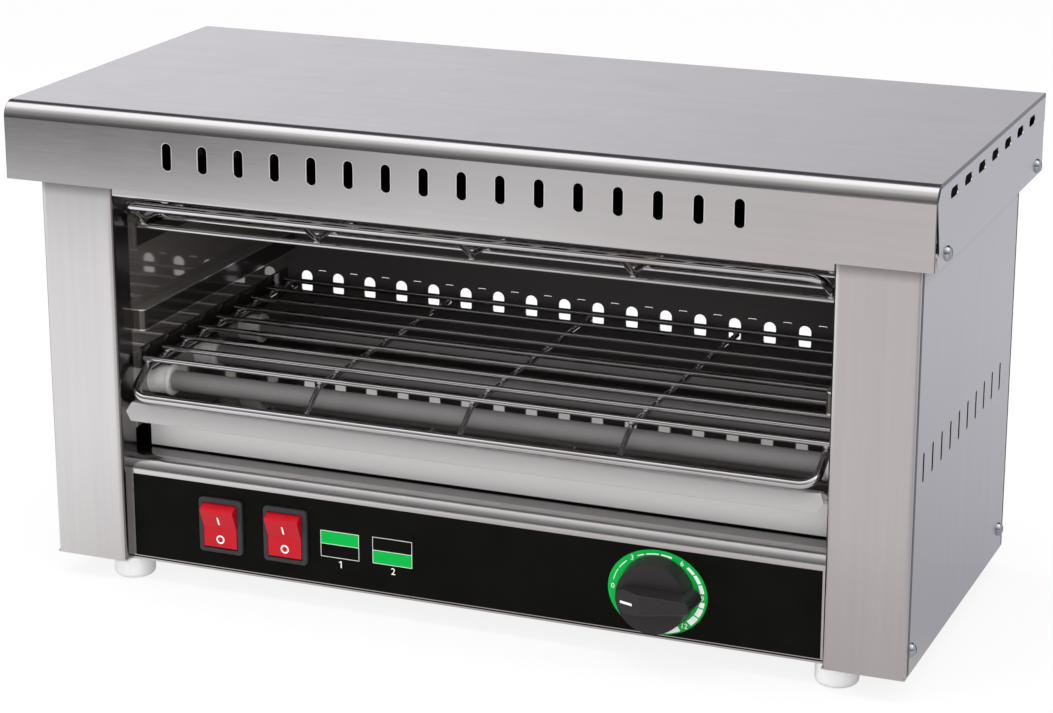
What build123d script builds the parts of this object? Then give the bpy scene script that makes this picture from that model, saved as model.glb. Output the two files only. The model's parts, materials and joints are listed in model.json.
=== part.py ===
from build123d import *
import os
from math import atan2, cos, degrees, hypot, radians, sin

# A one-level commercial toaster: a stainless cabinet with an overhanging hood, three quartz
# heaters below a pull-out wire rack and three above a wire guard, a crumb tray and a control
# panel with two rocker switches and a clockwork timer.
# Frame: millimetres, +Z up, the front faces -Y, +X is the viewer's right.
# The origin is on the surface the feet stand on, in the middle of the overall length and depth.

os.makedirs("parts", exist_ok=True)

# Sheet and clearances
SHEET = 1.0
BEND = 1.5
FIT = 0.05
HOLE_PLAY = 0.15
RUN_GAP = 0.3

# Cabinet
BODY_WIDTH = 466.0
BODY_DEPTH = 200.0
FOOT_HEIGHT = 12.0
BODY_HEIGHT = 248.0
POST_WIDTH = 41.5
POST_RETURN = 16.0
POST_LIP = 4.0
POST_BEND = 3.0
PANEL_TOP_GAP = 14.0
SIDE_SEAM = 1.5
SIDE_FLANGE = 21.0
BASE_SETBACK = 0.5
UPSTAND = 22.0

# Hood
HOOD_SIDE_OVERHANG = 10.0
HOOD_FRONT_OVERHANG = 15.0
HOOD_REAR_OVERHANG = 6.0
HOOD_FRONT_SKIRT = 40.0
HOOD_SIDE_SKIRT = 41.0
HOOD_REAR_SKIRT = 15.0
HOOD_BEND = 8.0
HOOD_NOTCH_TOP = 1.0
HOOD_NOTCH_BOTTOM = 9.0
HOOD_SLOTS = 16
HOOD_SLOT_EDGE = 93.0
HOOD_SLOT_DROP = 20.8
HOOD_SIDE_SLOTS = 7
HOOD_SIDE_SLOT_FIRST = 17.7
HOOD_SIDE_SLOT_LAST = 22.7
HOOD_SIDE_SLOT_DROP = 9.0
SLOT_LENGTH = 15.0
SLOT_WIDTH = 6.0

# Side panel slits and rear panel slots
SLITS = 10
SLIT_FIRST = 20.3
SLIT_LAST = 24.9
SLIT_HEIGHT = 102.5
SLIT_LENGTH = 15.0
SLIT_WIDTH = 2.6
REAR_SLOTS = 19
REAR_SLOT_EDGE = 12.0
REAR_SLOT_HEIGHT = 103.5
REAR_SLOT_LENGTH = 14.0
REAR_SLOT_WIDTH = 7.0
REAR_SLIT_RISE = 7.4
REAR_SLIT_LENGTH = 5.0
REAR_SLIT_WIDTH = 1.2

# Screws
SCREW_SHANK = 2.0
SCREW_HEAD = 3.8
SCREW_HEAD_HEIGHT = 2.4
SCREW_SLOT_WIDTH = 0.9
SCREW_SLOT_DEPTH = 0.9
SCREW_GRIP = 4.0
HOOD_SCREW_FIRST = 9.0
HOOD_SCREW_LAST = 6.0
HOOD_SCREW_RISE = 4.7
SPACER_RADIUS = 4.0
SIDE_SCREW_FIRST = 12.3
SIDE_SCREW_LAST = 9.0
SIDE_SCREW_HEIGHT = 12.0
REAR_SCREW_EDGE = 11.0
REAR_SCREW_LOW = 12.0
REAR_SCREW_HIGH = 12.0
REAR_SCREW_ROWS = 3

# Feet
FOOT_RADIUS = 11.0
FOOT_EDGE = 3.0
FOOT_SIDE = 37.7
FOOT_FRONT = 16.0
FOOT_REAR = 16.0
FOOT_SCREW_HEAD = 4.0
FOOT_RECESS = 4.5
FOOT_RECESS_DEPTH = 7.0
FOOT_SCREW_HEAD_HEIGHT = 2.5
FOOT_SCREW_GRIP = 3.0

# Control panel
PANEL_RECESS = 7.0
PANEL_RISE = 57.5
PANEL_BULLNOSE = 8.0
PANEL_FOOT_FLANGE = 15.0
LEDGE_DEPTH = 24.0
OVERLAY_THICKNESS = 0.3
OVERLAY_MARGIN = 2.5
OVERLAY_BOTTOM = 2.4
OVERLAY_HEIGHT = 45.6

# Rocker switches
SWITCH_EDGE = 54.5
SWITCH_PITCH = 37.5
SWITCH_HEIGHT = 26.0
BEZEL_WIDTH = 25.2
BEZEL_HEIGHT = 30.0
BEZEL_THICKNESS = 2.0
BEZEL_CORNER = 2.2
BEZEL_EDGE = 0.7
SWITCH_BODY_WALL = 1.4
SWITCH_BODY_DEPTH = 22.0
SWITCH_CAVITY_DEPTH = 16.0
SWITCH_BLADE_WIDTH = 6.3
SWITCH_BLADE_LENGTH = 8.0
SWITCH_BLADE_THICKNESS = 0.8
SWITCH_BLADE_STEP = 8.0
ROCKER_WIDTH = 19.0
ROCKER_FACE = 11.2
ROCKER_TILT = 12.0
ROCKER_DEPTH = 3.0
ROCKER_PROUD = 0.3
ROCKER_BACK = 4.0
ROCKER_BACK_HALF = 7.0
ROCKER_END_ARC = 30.0
ROCKER_PLAY = 0.4
ROCKER_CROWN = 0.8
TRUNNION = 1.5
TRUNNION_LENGTH = 1.2

# Timer and its knob
TIMER_EDGE = 86.6
TIMER_HEIGHT = 24.7
TIMER_SIZE = 42.0
TIMER_DEPTH = 32.0
TIMER_CORNER = 3.0
SHAFT_RADIUS = 3.0
SHAFT_BEARING = 18.0
SHAFT_HOLE = 4.5
TIMER_SCREW_SPREAD = 14.0
TIMER_SCREW_SHANK = 1.5
TIMER_SCREW_HEAD = 2.8
TIMER_SCREW_HEAD_HEIGHT = 1.6
TIMER_SCREW_GRIP = 6.0
KNOB_RADIUS = 19.5
KNOB_TOP_RADIUS = 18.2
KNOB_SKIRT = 10.6
KNOB_HEIGHT = 20.0
KNOB_LIFT = 0.6
KNOB_RECESS_RADIUS = 16.8
KNOB_RECESS_DEPTH = 3.0
KNOB_HUB = 6.5
KNOB_BORE_DEPTH = 14.0
KNOB_GRIP_RADIUS = 7.2
KNOB_GRIP_END = 11.0
KNOB_NOSE_RADIUS = 4.6
KNOB_NOSE_END = 19.6
KNOB_NOSE_LIFT = 3.5
KNOB_GRIP_TAPER = 4.0
KNOB_EDGE = 1.0
KNOB_SLOPE_START = 2.0
KNOB_SLOPE_END = 19.0
KNOB_SLOPE_LOW = 12.0
KNOB_REST_ANGLE = 4.0

# Toasting chamber
SHELF_HEIGHT = 70.0
CEILING_DROP = 36.0
LINTEL_DROP = 49.0
LINTEL_SETBACK = 1.5
LINTEL_FLANGE = 12.5
LINTEL_TOP_DROP = 16.0

# Heaters
TUBE_FIRST = 38.0
TUBE_LAST = 58.0
TUBES = 3
TUBE_DROP = 16.5
TUBE_RADIUS = 5.5
TUBE_WALL = 1.2
CAP_LENGTH = 13.0
CAP_RADIUS = 7.5
CAP_COLLAR = 8.2
CAP_COLLAR_LENGTH = 3.0
CAP_EDGE = 0.8
CAP_SOCKET = 8.0
CAP_NECK = 5.0
CAP_NECK_LENGTH = 7.0
COIL_RADIUS = 3.2
PIN_RADIUS = 1.0
PIN_REACH = 4.0
BUS_HALF_HEIGHT = 4.5
BUS_OVERLAP = 8.0

# Wire rack, and the guard, which is the same wirework turned over
RACK_HEIGHT = 108.0
GUARD_DROP = 32.0
RIM_WIRE = 2.25
GRID_WIRE = 1.5
RIM_SETBACK = 2.0
RIM_DROP = 15.5
RIM_CORNER = 9.0
RIM_KNEE = 12.0
RACK_SIDE_GAP = 6.7
BAR_FIRST = 20.5
BAR_LAST = 14.7
BARS = 9
BAR_OVERHANG = 2.0
CROSS_EDGE = 100.1
CROSS_WIRES = 3

# Runners on the chamber walls
RUNNER_WIDTH = 7.5
RUNNER_FRONT = 24.0
RUNNER_WEB = 11.0
SPARE_RUNNER_FRONT = 17.0
SPARE_RUNNER_RISE = 15.8
SPARE_RUNNER_DEPTH = 11.5
RUNNER_CORNER = 3.0
RUNNER_REAR_GAP = 3.0

# Crumb tray
TRAY_SIDE_GAP = 5.0
TRAY_FRONT = 26.0
TRAY_REAR_GAP = 9.0
TRAY_WALL = 9.0
APRON_SIDE_GAP = 3.5
APRON_GAP = 1.0
APRON_TOP = 76.0
LIP_SETBACK = 2.0
LIP_CREST = 6.5
LIP_TOP = 88.2
LIP_BOTTOM = 79.0
LIP_POINT_GAP = 1.9
LIP_TOP_GAP = 4.2
LIP_BOTTOM_GAP = 6.1

# Supply side
INLET_EDGE = 83.0
INLET_HEIGHT = 34.0
GLAND_BORE = 4.2
GLAND_THREAD = 6.0
GLAND_FLANGE = 10.0
GLAND_FLANGE_LENGTH = 4.0
GLAND_HEAD = 8.5
GLAND_HEAD_LENGTH = 14.0
GLAND_HEAD_EDGE = 2.0
GLAND_INSIDE = 9.0
GLAND_NUT = 9.5
GLAND_NUT_LENGTH = 4.0
HEX_SIDES = 6
TERMINAL_WIDTH = 44.0
TERMINAL_DEPTH = 20.0
TERMINAL_TALL = 16.0
TERMINAL_WAYS = 3
TERMINAL_PITCH = 13.0
TERMINAL_WELL = 3.2
TERMINAL_WELL_DEPTH = 9.0
TERMINAL_REAR_GAP = 26.0

# Wiring
WIRE_RADIUS = 1.4
WIRE_BEND = 8.0
WIRE_ALLEY = 58.0
WIRE_LIFT = 30.0
WIRE_STEP = 6.0
WIRE_OUT = 12.0
WIRE_ENTRY = 26.0
WIRE_LINK = 10.0
WIRE_DIP = 12.0

# Places worked out from the sizes above
GLAND_REACH = GLAND_FLANGE_LENGTH + GLAND_HEAD_LENGTH
FRONT = -(BODY_DEPTH + GLAND_REACH - HOOD_FRONT_OVERHANG) / 2
REAR = FRONT + BODY_DEPTH
REAR_INNER = REAR - SHEET
BOTTOM = FOOT_HEIGHT
FLOOR = BOTTOM + SHEET
TOP = BOTTOM + BODY_HEIGHT
PANEL_TOP = TOP - PANEL_TOP_GAP
BODY_X = BODY_WIDTH / 2
OPENING_X = BODY_X - POST_WIDTH
WALL_X = OPENING_X + SHEET / 2
HOOD_X = BODY_X + HOOD_SIDE_OVERHANG
HOOD_FRONT = FRONT - HOOD_FRONT_OVERHANG
HOOD_REAR = REAR + HOOD_REAR_OVERHANG
PANEL_Y = FRONT + PANEL_RECESS
PANEL_BACK = PANEL_Y + SHEET
LEDGE_Z = BOTTOM + PANEL_RISE
SHELF_Z = BOTTOM + SHELF_HEIGHT
CEILING_Z = TOP - CEILING_DROP
LINTEL_Z = TOP - LINTEL_DROP
OVERLAY_Y = PANEL_Y - OVERLAY_THICKNESS
OVERLAY_X = OPENING_X - OVERLAY_MARGIN
OVERLAY_Z = BOTTOM + OVERLAY_BOTTOM + OVERLAY_HEIGHT / 2
SWITCH_X = [SWITCH_EDGE - OPENING_X, SWITCH_EDGE + SWITCH_PITCH - OPENING_X]
SWITCH_Z = BOTTOM + SWITCH_HEIGHT
TIMER_X = OPENING_X - TIMER_EDGE
TIMER_Z = BOTTOM + TIMER_HEIGHT
SIDE_FRONT = FRONT + POST_LIP + SIDE_SEAM
RACK_Z = BOTTOM + RACK_HEIGHT
LOWER_TUBE_Z = RACK_Z - TUBE_DROP
GUARD_Z = CEILING_Z - GUARD_DROP
UPPER_TUBE_Z = GUARD_Z + TUBE_DROP
TUBE_PITCH = (BODY_DEPTH - TUBE_FIRST - TUBE_LAST) / (TUBES - 1)
TUBE_Y = [FRONT + TUBE_FIRST + TUBE_PITCH * i for i in range(TUBES)]
RACK_HALF_WIDTH = WALL_X - RACK_SIDE_GAP
INLET_X = BODY_X - INLET_EDGE
CLEAR_SHANK = SCREW_SHANK + HOLE_PLAY
REAR_SCREW_STEP = (PANEL_TOP - REAR_SCREW_HIGH - BOTTOM - REAR_SCREW_LOW) / (REAR_SCREW_ROWS - 1)

HOOD_SCREW_POINTS = [
    (FRONT + HOOD_SCREW_FIRST, TOP - HOOD_SIDE_SKIRT + HOOD_SCREW_RISE),
    (REAR - HOOD_SCREW_LAST, TOP - HOOD_SIDE_SKIRT + HOOD_SCREW_RISE),
]
SIDE_SCREW_POINTS = [
    (FRONT + SIDE_SCREW_FIRST, BOTTOM + SIDE_SCREW_HEIGHT),
    (REAR - SIDE_SCREW_LAST, BOTTOM + SIDE_SCREW_HEIGHT),
]
REAR_SCREW_POINTS = [
    (side * (BODY_X - REAR_SCREW_EDGE), BOTTOM + REAR_SCREW_LOW + REAR_SCREW_STEP * row)
    for side in (-1, 1)
    for row in range(REAR_SCREW_ROWS)
]
FOOT_POINTS = {
    "front_left_foot": (FOOT_SIDE - BODY_X, FRONT + FOOT_FRONT),
    "front_right_foot": (BODY_X - FOOT_SIDE, FRONT + FOOT_FRONT),
    "rear_left_foot": (FOOT_SIDE - BODY_X, REAR - FOOT_REAR),
    "rear_right_foot": (BODY_X - FOOT_SIDE, REAR - FOOT_REAR),
}


def dome_screw(shank, head, head_height, length):
    """A slotted dome-head screw along Z, with its head seated at zero."""
    with BuildPart() as screw:
        with BuildSketch(Plane.XZ):
            with BuildLine():
                Polyline((0, head_height), (0, -length), (shank, -length), (shank, 0), (head, 0))
                EllipticalCenterArc((0, 0), head, head_height, arc_size=90)
            make_face()
        revolve(axis=Axis.Z)
        with Locations((0, 0, head_height)):
            Box(2 * head, SCREW_SLOT_WIDTH, 2 * SCREW_SLOT_DEPTH, mode=Mode.SUBTRACT)
    return screw.part


# Hood: one folded sheet, the front rolled over, the sides turned down past slanted notches
with BuildPart() as hood:
    with BuildSketch(Plane.YZ):
        with BuildLine():
            FilletPolyline(
                (HOOD_FRONT, TOP - HOOD_FRONT_SKIRT),
                (HOOD_FRONT, TOP),
                (HOOD_REAR, TOP),
                (HOOD_REAR, TOP - HOOD_REAR_SKIRT),
                radius=(HOOD_BEND, BEND),
            )
            offset(amount=SHEET, side=Side.RIGHT)
        make_face()
    extrude(amount=HOOD_X, both=True)
    with BuildSketch(Plane.YZ.offset(HOOD_X)):
        with BuildLine():
            Polyline(
                (HOOD_FRONT + SHEET + HOOD_NOTCH_TOP, TOP - HOOD_BEND),
                (HOOD_FRONT + HOOD_BEND, TOP - SHEET / 2),
                (HOOD_REAR - BEND, TOP - SHEET / 2),
                (HOOD_REAR - SHEET, TOP - HOOD_BEND),
                (HOOD_REAR - SHEET, TOP - HOOD_SIDE_SKIRT),
                (HOOD_FRONT + SHEET + HOOD_NOTCH_BOTTOM, TOP - HOOD_SIDE_SKIRT),
                close=True,
            )
        make_face()
    right_skirt = extrude(amount=-SHEET)
    mirror(right_skirt, about=Plane.YZ)
    with BuildSketch(Plane.XZ.offset(-HOOD_FRONT)):
        slot_pitch = 2 * (HOOD_X - HOOD_SLOT_EDGE) / (HOOD_SLOTS - 1)
        with Locations((0, TOP - HOOD_SLOT_DROP)):
            with GridLocations(slot_pitch, 0, HOOD_SLOTS, 1):
                SlotOverall(SLOT_LENGTH, SLOT_WIDTH, rotation=90)
    extrude(amount=-SHEET, mode=Mode.SUBTRACT)
    with BuildSketch(Plane.YZ):
        side_span = BODY_DEPTH - HOOD_SIDE_SLOT_FIRST - HOOD_SIDE_SLOT_LAST
        side_middle = FRONT + HOOD_SIDE_SLOT_FIRST + side_span / 2
        with Locations((side_middle, TOP - HOOD_SIDE_SLOT_DROP)):
            with GridLocations(side_span / (HOOD_SIDE_SLOTS - 1), 0, HOOD_SIDE_SLOTS, 1):
                SlotOverall(SLOT_LENGTH, SLOT_WIDTH)
        with Locations(HOOD_SCREW_POINTS):
            Circle(CLEAR_SHANK)
    extrude(amount=HOOD_X, both=True, mode=Mode.SUBTRACT)
hood.part.label = "hood"
export_step(hood.part, "parts/hood.step")

# Spacers that hold the hood skirt off the side panels
with BuildPart() as hood_spacers:
    with BuildSketch(Plane.YZ.offset(BODY_X)):
        with Locations(HOOD_SCREW_POINTS):
            Circle(SPACER_RADIUS)
            Circle(CLEAR_SHANK, mode=Mode.SUBTRACT)
    right_spacers = extrude(amount=HOOD_X - SHEET - BODY_X)
    mirror(right_spacers, about=Plane.YZ)
hood_spacers.part.label = "hood_spacers"
export_step(hood_spacers.part, "parts/hood_spacers.step")

# Right side panel: a sheet with inward flanges front and rear, slits low down for cooling air
with BuildPart() as right_side_panel:
    with BuildSketch(Plane.XY.offset(FLOOR)):
        with BuildLine():
            FilletPolyline(
                (BODY_X - SIDE_FLANGE, SIDE_FRONT),
                (BODY_X, SIDE_FRONT),
                (BODY_X, REAR_INNER),
                (BODY_X - SIDE_FLANGE, REAR_INNER),
                radius=BEND,
            )
            offset(amount=SHEET, side=Side.LEFT)
        make_face()
    extrude(amount=PANEL_TOP - FLOOR)
    with BuildSketch(Plane.YZ.offset(BODY_X)):
        slit_span = BODY_DEPTH - SLIT_FIRST - SLIT_LAST
        with Locations((FRONT + SLIT_FIRST + slit_span / 2, BOTTOM + SLIT_HEIGHT)):
            with GridLocations(slit_span / (SLITS - 1), 0, SLITS, 1):
                SlotOverall(SLIT_LENGTH, SLIT_WIDTH, rotation=90)
        with Locations(HOOD_SCREW_POINTS + SIDE_SCREW_POINTS):
            Circle(SCREW_SHANK + FIT)
    extrude(amount=-SHEET, mode=Mode.SUBTRACT)
    with BuildSketch(Plane.XZ.offset(-REAR_INNER)):
        with Locations([p for p in REAR_SCREW_POINTS if p[0] > 0]):
            Circle(SCREW_SHANK + FIT)
    extrude(amount=SHEET, mode=Mode.SUBTRACT)
right_side_panel.part.label = "right_side_panel"
export_step(right_side_panel.part, "parts/right_side_panel.step")

with BuildPart() as left_side_panel:
    mirror(right_side_panel.part, about=Plane.YZ)
left_side_panel.part.label = "left_side_panel"
export_step(left_side_panel.part, "parts/left_side_panel.step")

# Front posts: folded channels with softly rounded front edges
with BuildPart() as right_front_post:
    with BuildSketch(Plane.XY.offset(FLOOR)):
        with BuildLine():
            FilletPolyline(
                (BODY_X, FRONT + POST_LIP),
                (BODY_X, FRONT),
                (OPENING_X, FRONT),
                (OPENING_X, FRONT + POST_RETURN),
                radius=POST_BEND,
            )
            offset(amount=SHEET, side=Side.RIGHT)
        make_face()
    extrude(amount=PANEL_TOP - FLOOR)
right_front_post.part.label = "right_front_post"
export_step(right_front_post.part, "parts/right_front_post.step")

with BuildPart() as left_front_post:
    mirror(right_front_post.part, about=Plane.YZ)
left_front_post.part.label = "left_front_post"
export_step(left_front_post.part, "parts/left_front_post.step")

# Upper front rail between the posts, behind the hood's front skirt
with BuildPart() as upper_front_rail:
    with BuildSketch(Plane.YZ):
        with BuildLine():
            FilletPolyline(
                (FRONT + LINTEL_SETBACK + LINTEL_FLANGE, LINTEL_Z),
                (FRONT + LINTEL_SETBACK, LINTEL_Z),
                (FRONT + LINTEL_SETBACK, TOP - LINTEL_TOP_DROP),
                radius=BEND,
            )
            offset(amount=SHEET, side=Side.RIGHT)
        make_face()
    extrude(amount=OPENING_X, both=True)
upper_front_rail.part.label = "upper_front_rail"
export_step(upper_front_rail.part, "parts/upper_front_rail.step")

# Rear panel with a row of air slots, short slits between their upper ends, and the cable gland's hole
REAR_SLOT_PITCH = 2 * (WALL_X - REAR_SLOT_EDGE) / (REAR_SLOTS - 1)
with BuildPart() as rear_panel:
    with BuildSketch(Plane.XZ.offset(-REAR)):
        with Locations((0, (FLOOR + PANEL_TOP) / 2)):
            Rectangle(BODY_WIDTH, PANEL_TOP - FLOOR)
        with Locations((0, BOTTOM + REAR_SLOT_HEIGHT)):
            with GridLocations(REAR_SLOT_PITCH, 0, REAR_SLOTS, 1):
                SlotOverall(REAR_SLOT_LENGTH, REAR_SLOT_WIDTH, rotation=90, mode=Mode.SUBTRACT)
        with Locations((0, BOTTOM + REAR_SLOT_HEIGHT + REAR_SLIT_RISE)):
            with GridLocations(REAR_SLOT_PITCH, 0, REAR_SLOTS - 1, 1):
                SlotOverall(REAR_SLIT_LENGTH, REAR_SLIT_WIDTH, mode=Mode.SUBTRACT)
        with Locations(REAR_SCREW_POINTS):
            Circle(CLEAR_SHANK, mode=Mode.SUBTRACT)
        with Locations((INLET_X, BOTTOM + INLET_HEIGHT)):
            Circle(GLAND_THREAD + HOLE_PLAY, mode=Mode.SUBTRACT)
    extrude(amount=SHEET)
rear_panel.part.label = "rear_panel"
export_step(rear_panel.part, "parts/rear_panel.step")

# Base plate under the whole cabinet, cut back between the posts, with an upstand inside each side
with BuildPart() as base_plate:
    with BuildSketch(Plane.XY.offset(BOTTOM)):
        with Locations((0, (FRONT + BASE_SETBACK + REAR) / 2)):
            Rectangle(BODY_WIDTH, BODY_DEPTH - BASE_SETBACK)
        with Locations((0, FRONT + PANEL_RECESS / 2)):
            Rectangle(2 * OPENING_X, PANEL_RECESS, mode=Mode.SUBTRACT)
        with Locations(list(FOOT_POINTS.values())):
            Circle(CLEAR_SHANK, mode=Mode.SUBTRACT)
    extrude(amount=SHEET)
    with BuildSketch(Plane.YZ.offset(BODY_X - SHEET)):
        upstand_front = SIDE_FRONT + 2 * BEND
        upstand_rear = REAR_INNER - 2 * BEND
        with Locations(((upstand_front + upstand_rear) / 2, FLOOR + UPSTAND / 2)):
            Rectangle(upstand_rear - upstand_front, UPSTAND)
        with Locations(SIDE_SCREW_POINTS):
            Circle(SCREW_SHANK + FIT, mode=Mode.SUBTRACT)
    right_upstand = extrude(amount=-SHEET)
    mirror(right_upstand, about=Plane.YZ)
base_plate.part.label = "base_plate"
export_step(base_plate.part, "parts/base_plate.step")

# Dome-head screws with a driver slot: hood, side panels, rear panel
hood_screw = dome_screw(SCREW_SHANK, SCREW_HEAD, SCREW_HEAD_HEIGHT, HOOD_X - BODY_X + SHEET + SCREW_GRIP)
panel_screw = dome_screw(SCREW_SHANK, SCREW_HEAD, SCREW_HEAD_HEIGHT, 2 * SHEET + SCREW_GRIP)

with BuildPart() as hood_screws:
    with Locations([Plane((HOOD_X, y, z), z_dir=(1, 0, 0)) for y, z in HOOD_SCREW_POINTS]):
        add(hood_screw)
    mirror(about=Plane.YZ)
hood_screws.part.label = "hood_screws"
export_step(hood_screws.part, "parts/hood_screws.step")

with BuildPart() as side_panel_screws:
    with Locations([Plane((BODY_X, y, z), z_dir=(1, 0, 0)) for y, z in SIDE_SCREW_POINTS]):
        add(panel_screw)
    mirror(about=Plane.YZ)
side_panel_screws.part.label = "side_panel_screws"
export_step(side_panel_screws.part, "parts/side_panel_screws.step")

with BuildPart() as rear_panel_screws:
    with Locations([Plane((x, REAR, z), z_dir=(0, 1, 0)) for x, z in REAR_SCREW_POINTS]):
        add(panel_screw)
rear_panel_screws.part.label = "rear_panel_screws"
export_step(rear_panel_screws.part, "parts/rear_panel_screws.step")

# Feet: turned domes with a recess for the screw that holds each to the base plate
for label, (x, y) in FOOT_POINTS.items():
    with BuildPart() as foot:
        with Locations((x, y, 0)):
            Cylinder(FOOT_RADIUS, FOOT_HEIGHT, align=(Align.CENTER, Align.CENTER, Align.MIN))
        fillet(foot.edges().group_by(Axis.Z)[0], radius=FOOT_EDGE)
        with Locations((x, y, 0)):
            Cylinder(
                FOOT_RECESS,
                FOOT_RECESS_DEPTH,
                align=(Align.CENTER, Align.CENTER, Align.MIN),
                mode=Mode.SUBTRACT,
            )
            Cylinder(
                CLEAR_SHANK,
                FOOT_HEIGHT,
                align=(Align.CENTER, Align.CENTER, Align.MIN),
                mode=Mode.SUBTRACT,
            )
    foot.part.label = label
    export_step(foot.part, f"parts/{label}.step")

foot_screw = dome_screw(
    SCREW_SHANK,
    FOOT_SCREW_HEAD,
    FOOT_SCREW_HEAD_HEIGHT,
    FOOT_HEIGHT - FOOT_RECESS_DEPTH + SHEET + FOOT_SCREW_GRIP,
)
with BuildPart() as foot_screws:
    with Locations([Plane((x, y, FOOT_RECESS_DEPTH), z_dir=(0, 0, -1)) for x, y in FOOT_POINTS.values()]):
        add(foot_screw)
foot_screws.part.label = "foot_screws"
export_step(foot_screws.part, "parts/foot_screws.step")

# Control panel: folded sheet with a bullnose along its top and a ledge behind it
ROCKER_TIP = (
    ROCKER_DEPTH + ROCKER_FACE * sin(radians(ROCKER_TILT)),
    ROCKER_FACE * cos(radians(ROCKER_TILT)),
)
SWITCH_CAVITY = [ROCKER_WIDTH + 2 * ROCKER_PLAY, 2 * (hypot(*ROCKER_TIP) + ROCKER_PLAY)]
SWITCH_BODY = [size + 2 * SWITCH_BODY_WALL for size in SWITCH_CAVITY]
TIMER_SCREW_POINTS = [(TIMER_X - TIMER_SCREW_SPREAD, TIMER_Z), (TIMER_X + TIMER_SCREW_SPREAD, TIMER_Z)]
with BuildPart() as control_panel:
    with BuildSketch(Plane.YZ):
        with BuildLine():
            FilletPolyline(
                (PANEL_Y + PANEL_FOOT_FLANGE, FLOOR),
                (PANEL_Y, FLOOR),
                (PANEL_Y, LEDGE_Z),
                (PANEL_Y + LEDGE_DEPTH, LEDGE_Z),
                radius=(BEND, PANEL_BULLNOSE),
            )
            offset(amount=SHEET, side=Side.RIGHT)
        make_face()
    extrude(amount=OPENING_X, both=True)
    with BuildSketch(Plane.XZ.offset(-PANEL_Y)):
        with Locations([(x, SWITCH_Z) for x in SWITCH_X]):
            Rectangle(SWITCH_BODY[0] + 2 * HOLE_PLAY, SWITCH_BODY[1] + 2 * HOLE_PLAY)
        with Locations((TIMER_X, TIMER_Z)):
            Circle(SHAFT_HOLE)
        with Locations(TIMER_SCREW_POINTS):
            Circle(TIMER_SCREW_SHANK + HOLE_PLAY)
    extrude(amount=-SHEET, mode=Mode.SUBTRACT)
control_panel.part.label = "control_panel"
export_step(control_panel.part, "parts/control_panel.step")

# Fascia overlay: a printed film on the panel's flat
with BuildPart() as fascia_overlay:
    with BuildSketch(Plane.XZ.offset(-PANEL_Y)):
        with Locations((0, OVERLAY_Z)):
            Rectangle(2 * OVERLAY_X, OVERLAY_HEIGHT)
        with Locations([(x, SWITCH_Z) for x in SWITCH_X]):
            Rectangle(SWITCH_BODY[0] + 2 * HOLE_PLAY, SWITCH_BODY[1] + 2 * HOLE_PLAY, mode=Mode.SUBTRACT)
        with Locations((TIMER_X, TIMER_Z)):
            Circle(SHAFT_HOLE, mode=Mode.SUBTRACT)
        with Locations(TIMER_SCREW_POINTS):
            Circle(TIMER_SCREW_SHANK + HOLE_PLAY, mode=Mode.SUBTRACT)
    extrude(amount=OVERLAY_THICKNESS)
fascia_overlay.part.label = "fascia_overlay"
export_step(fascia_overlay.part, "parts/fascia_overlay.step")

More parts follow.
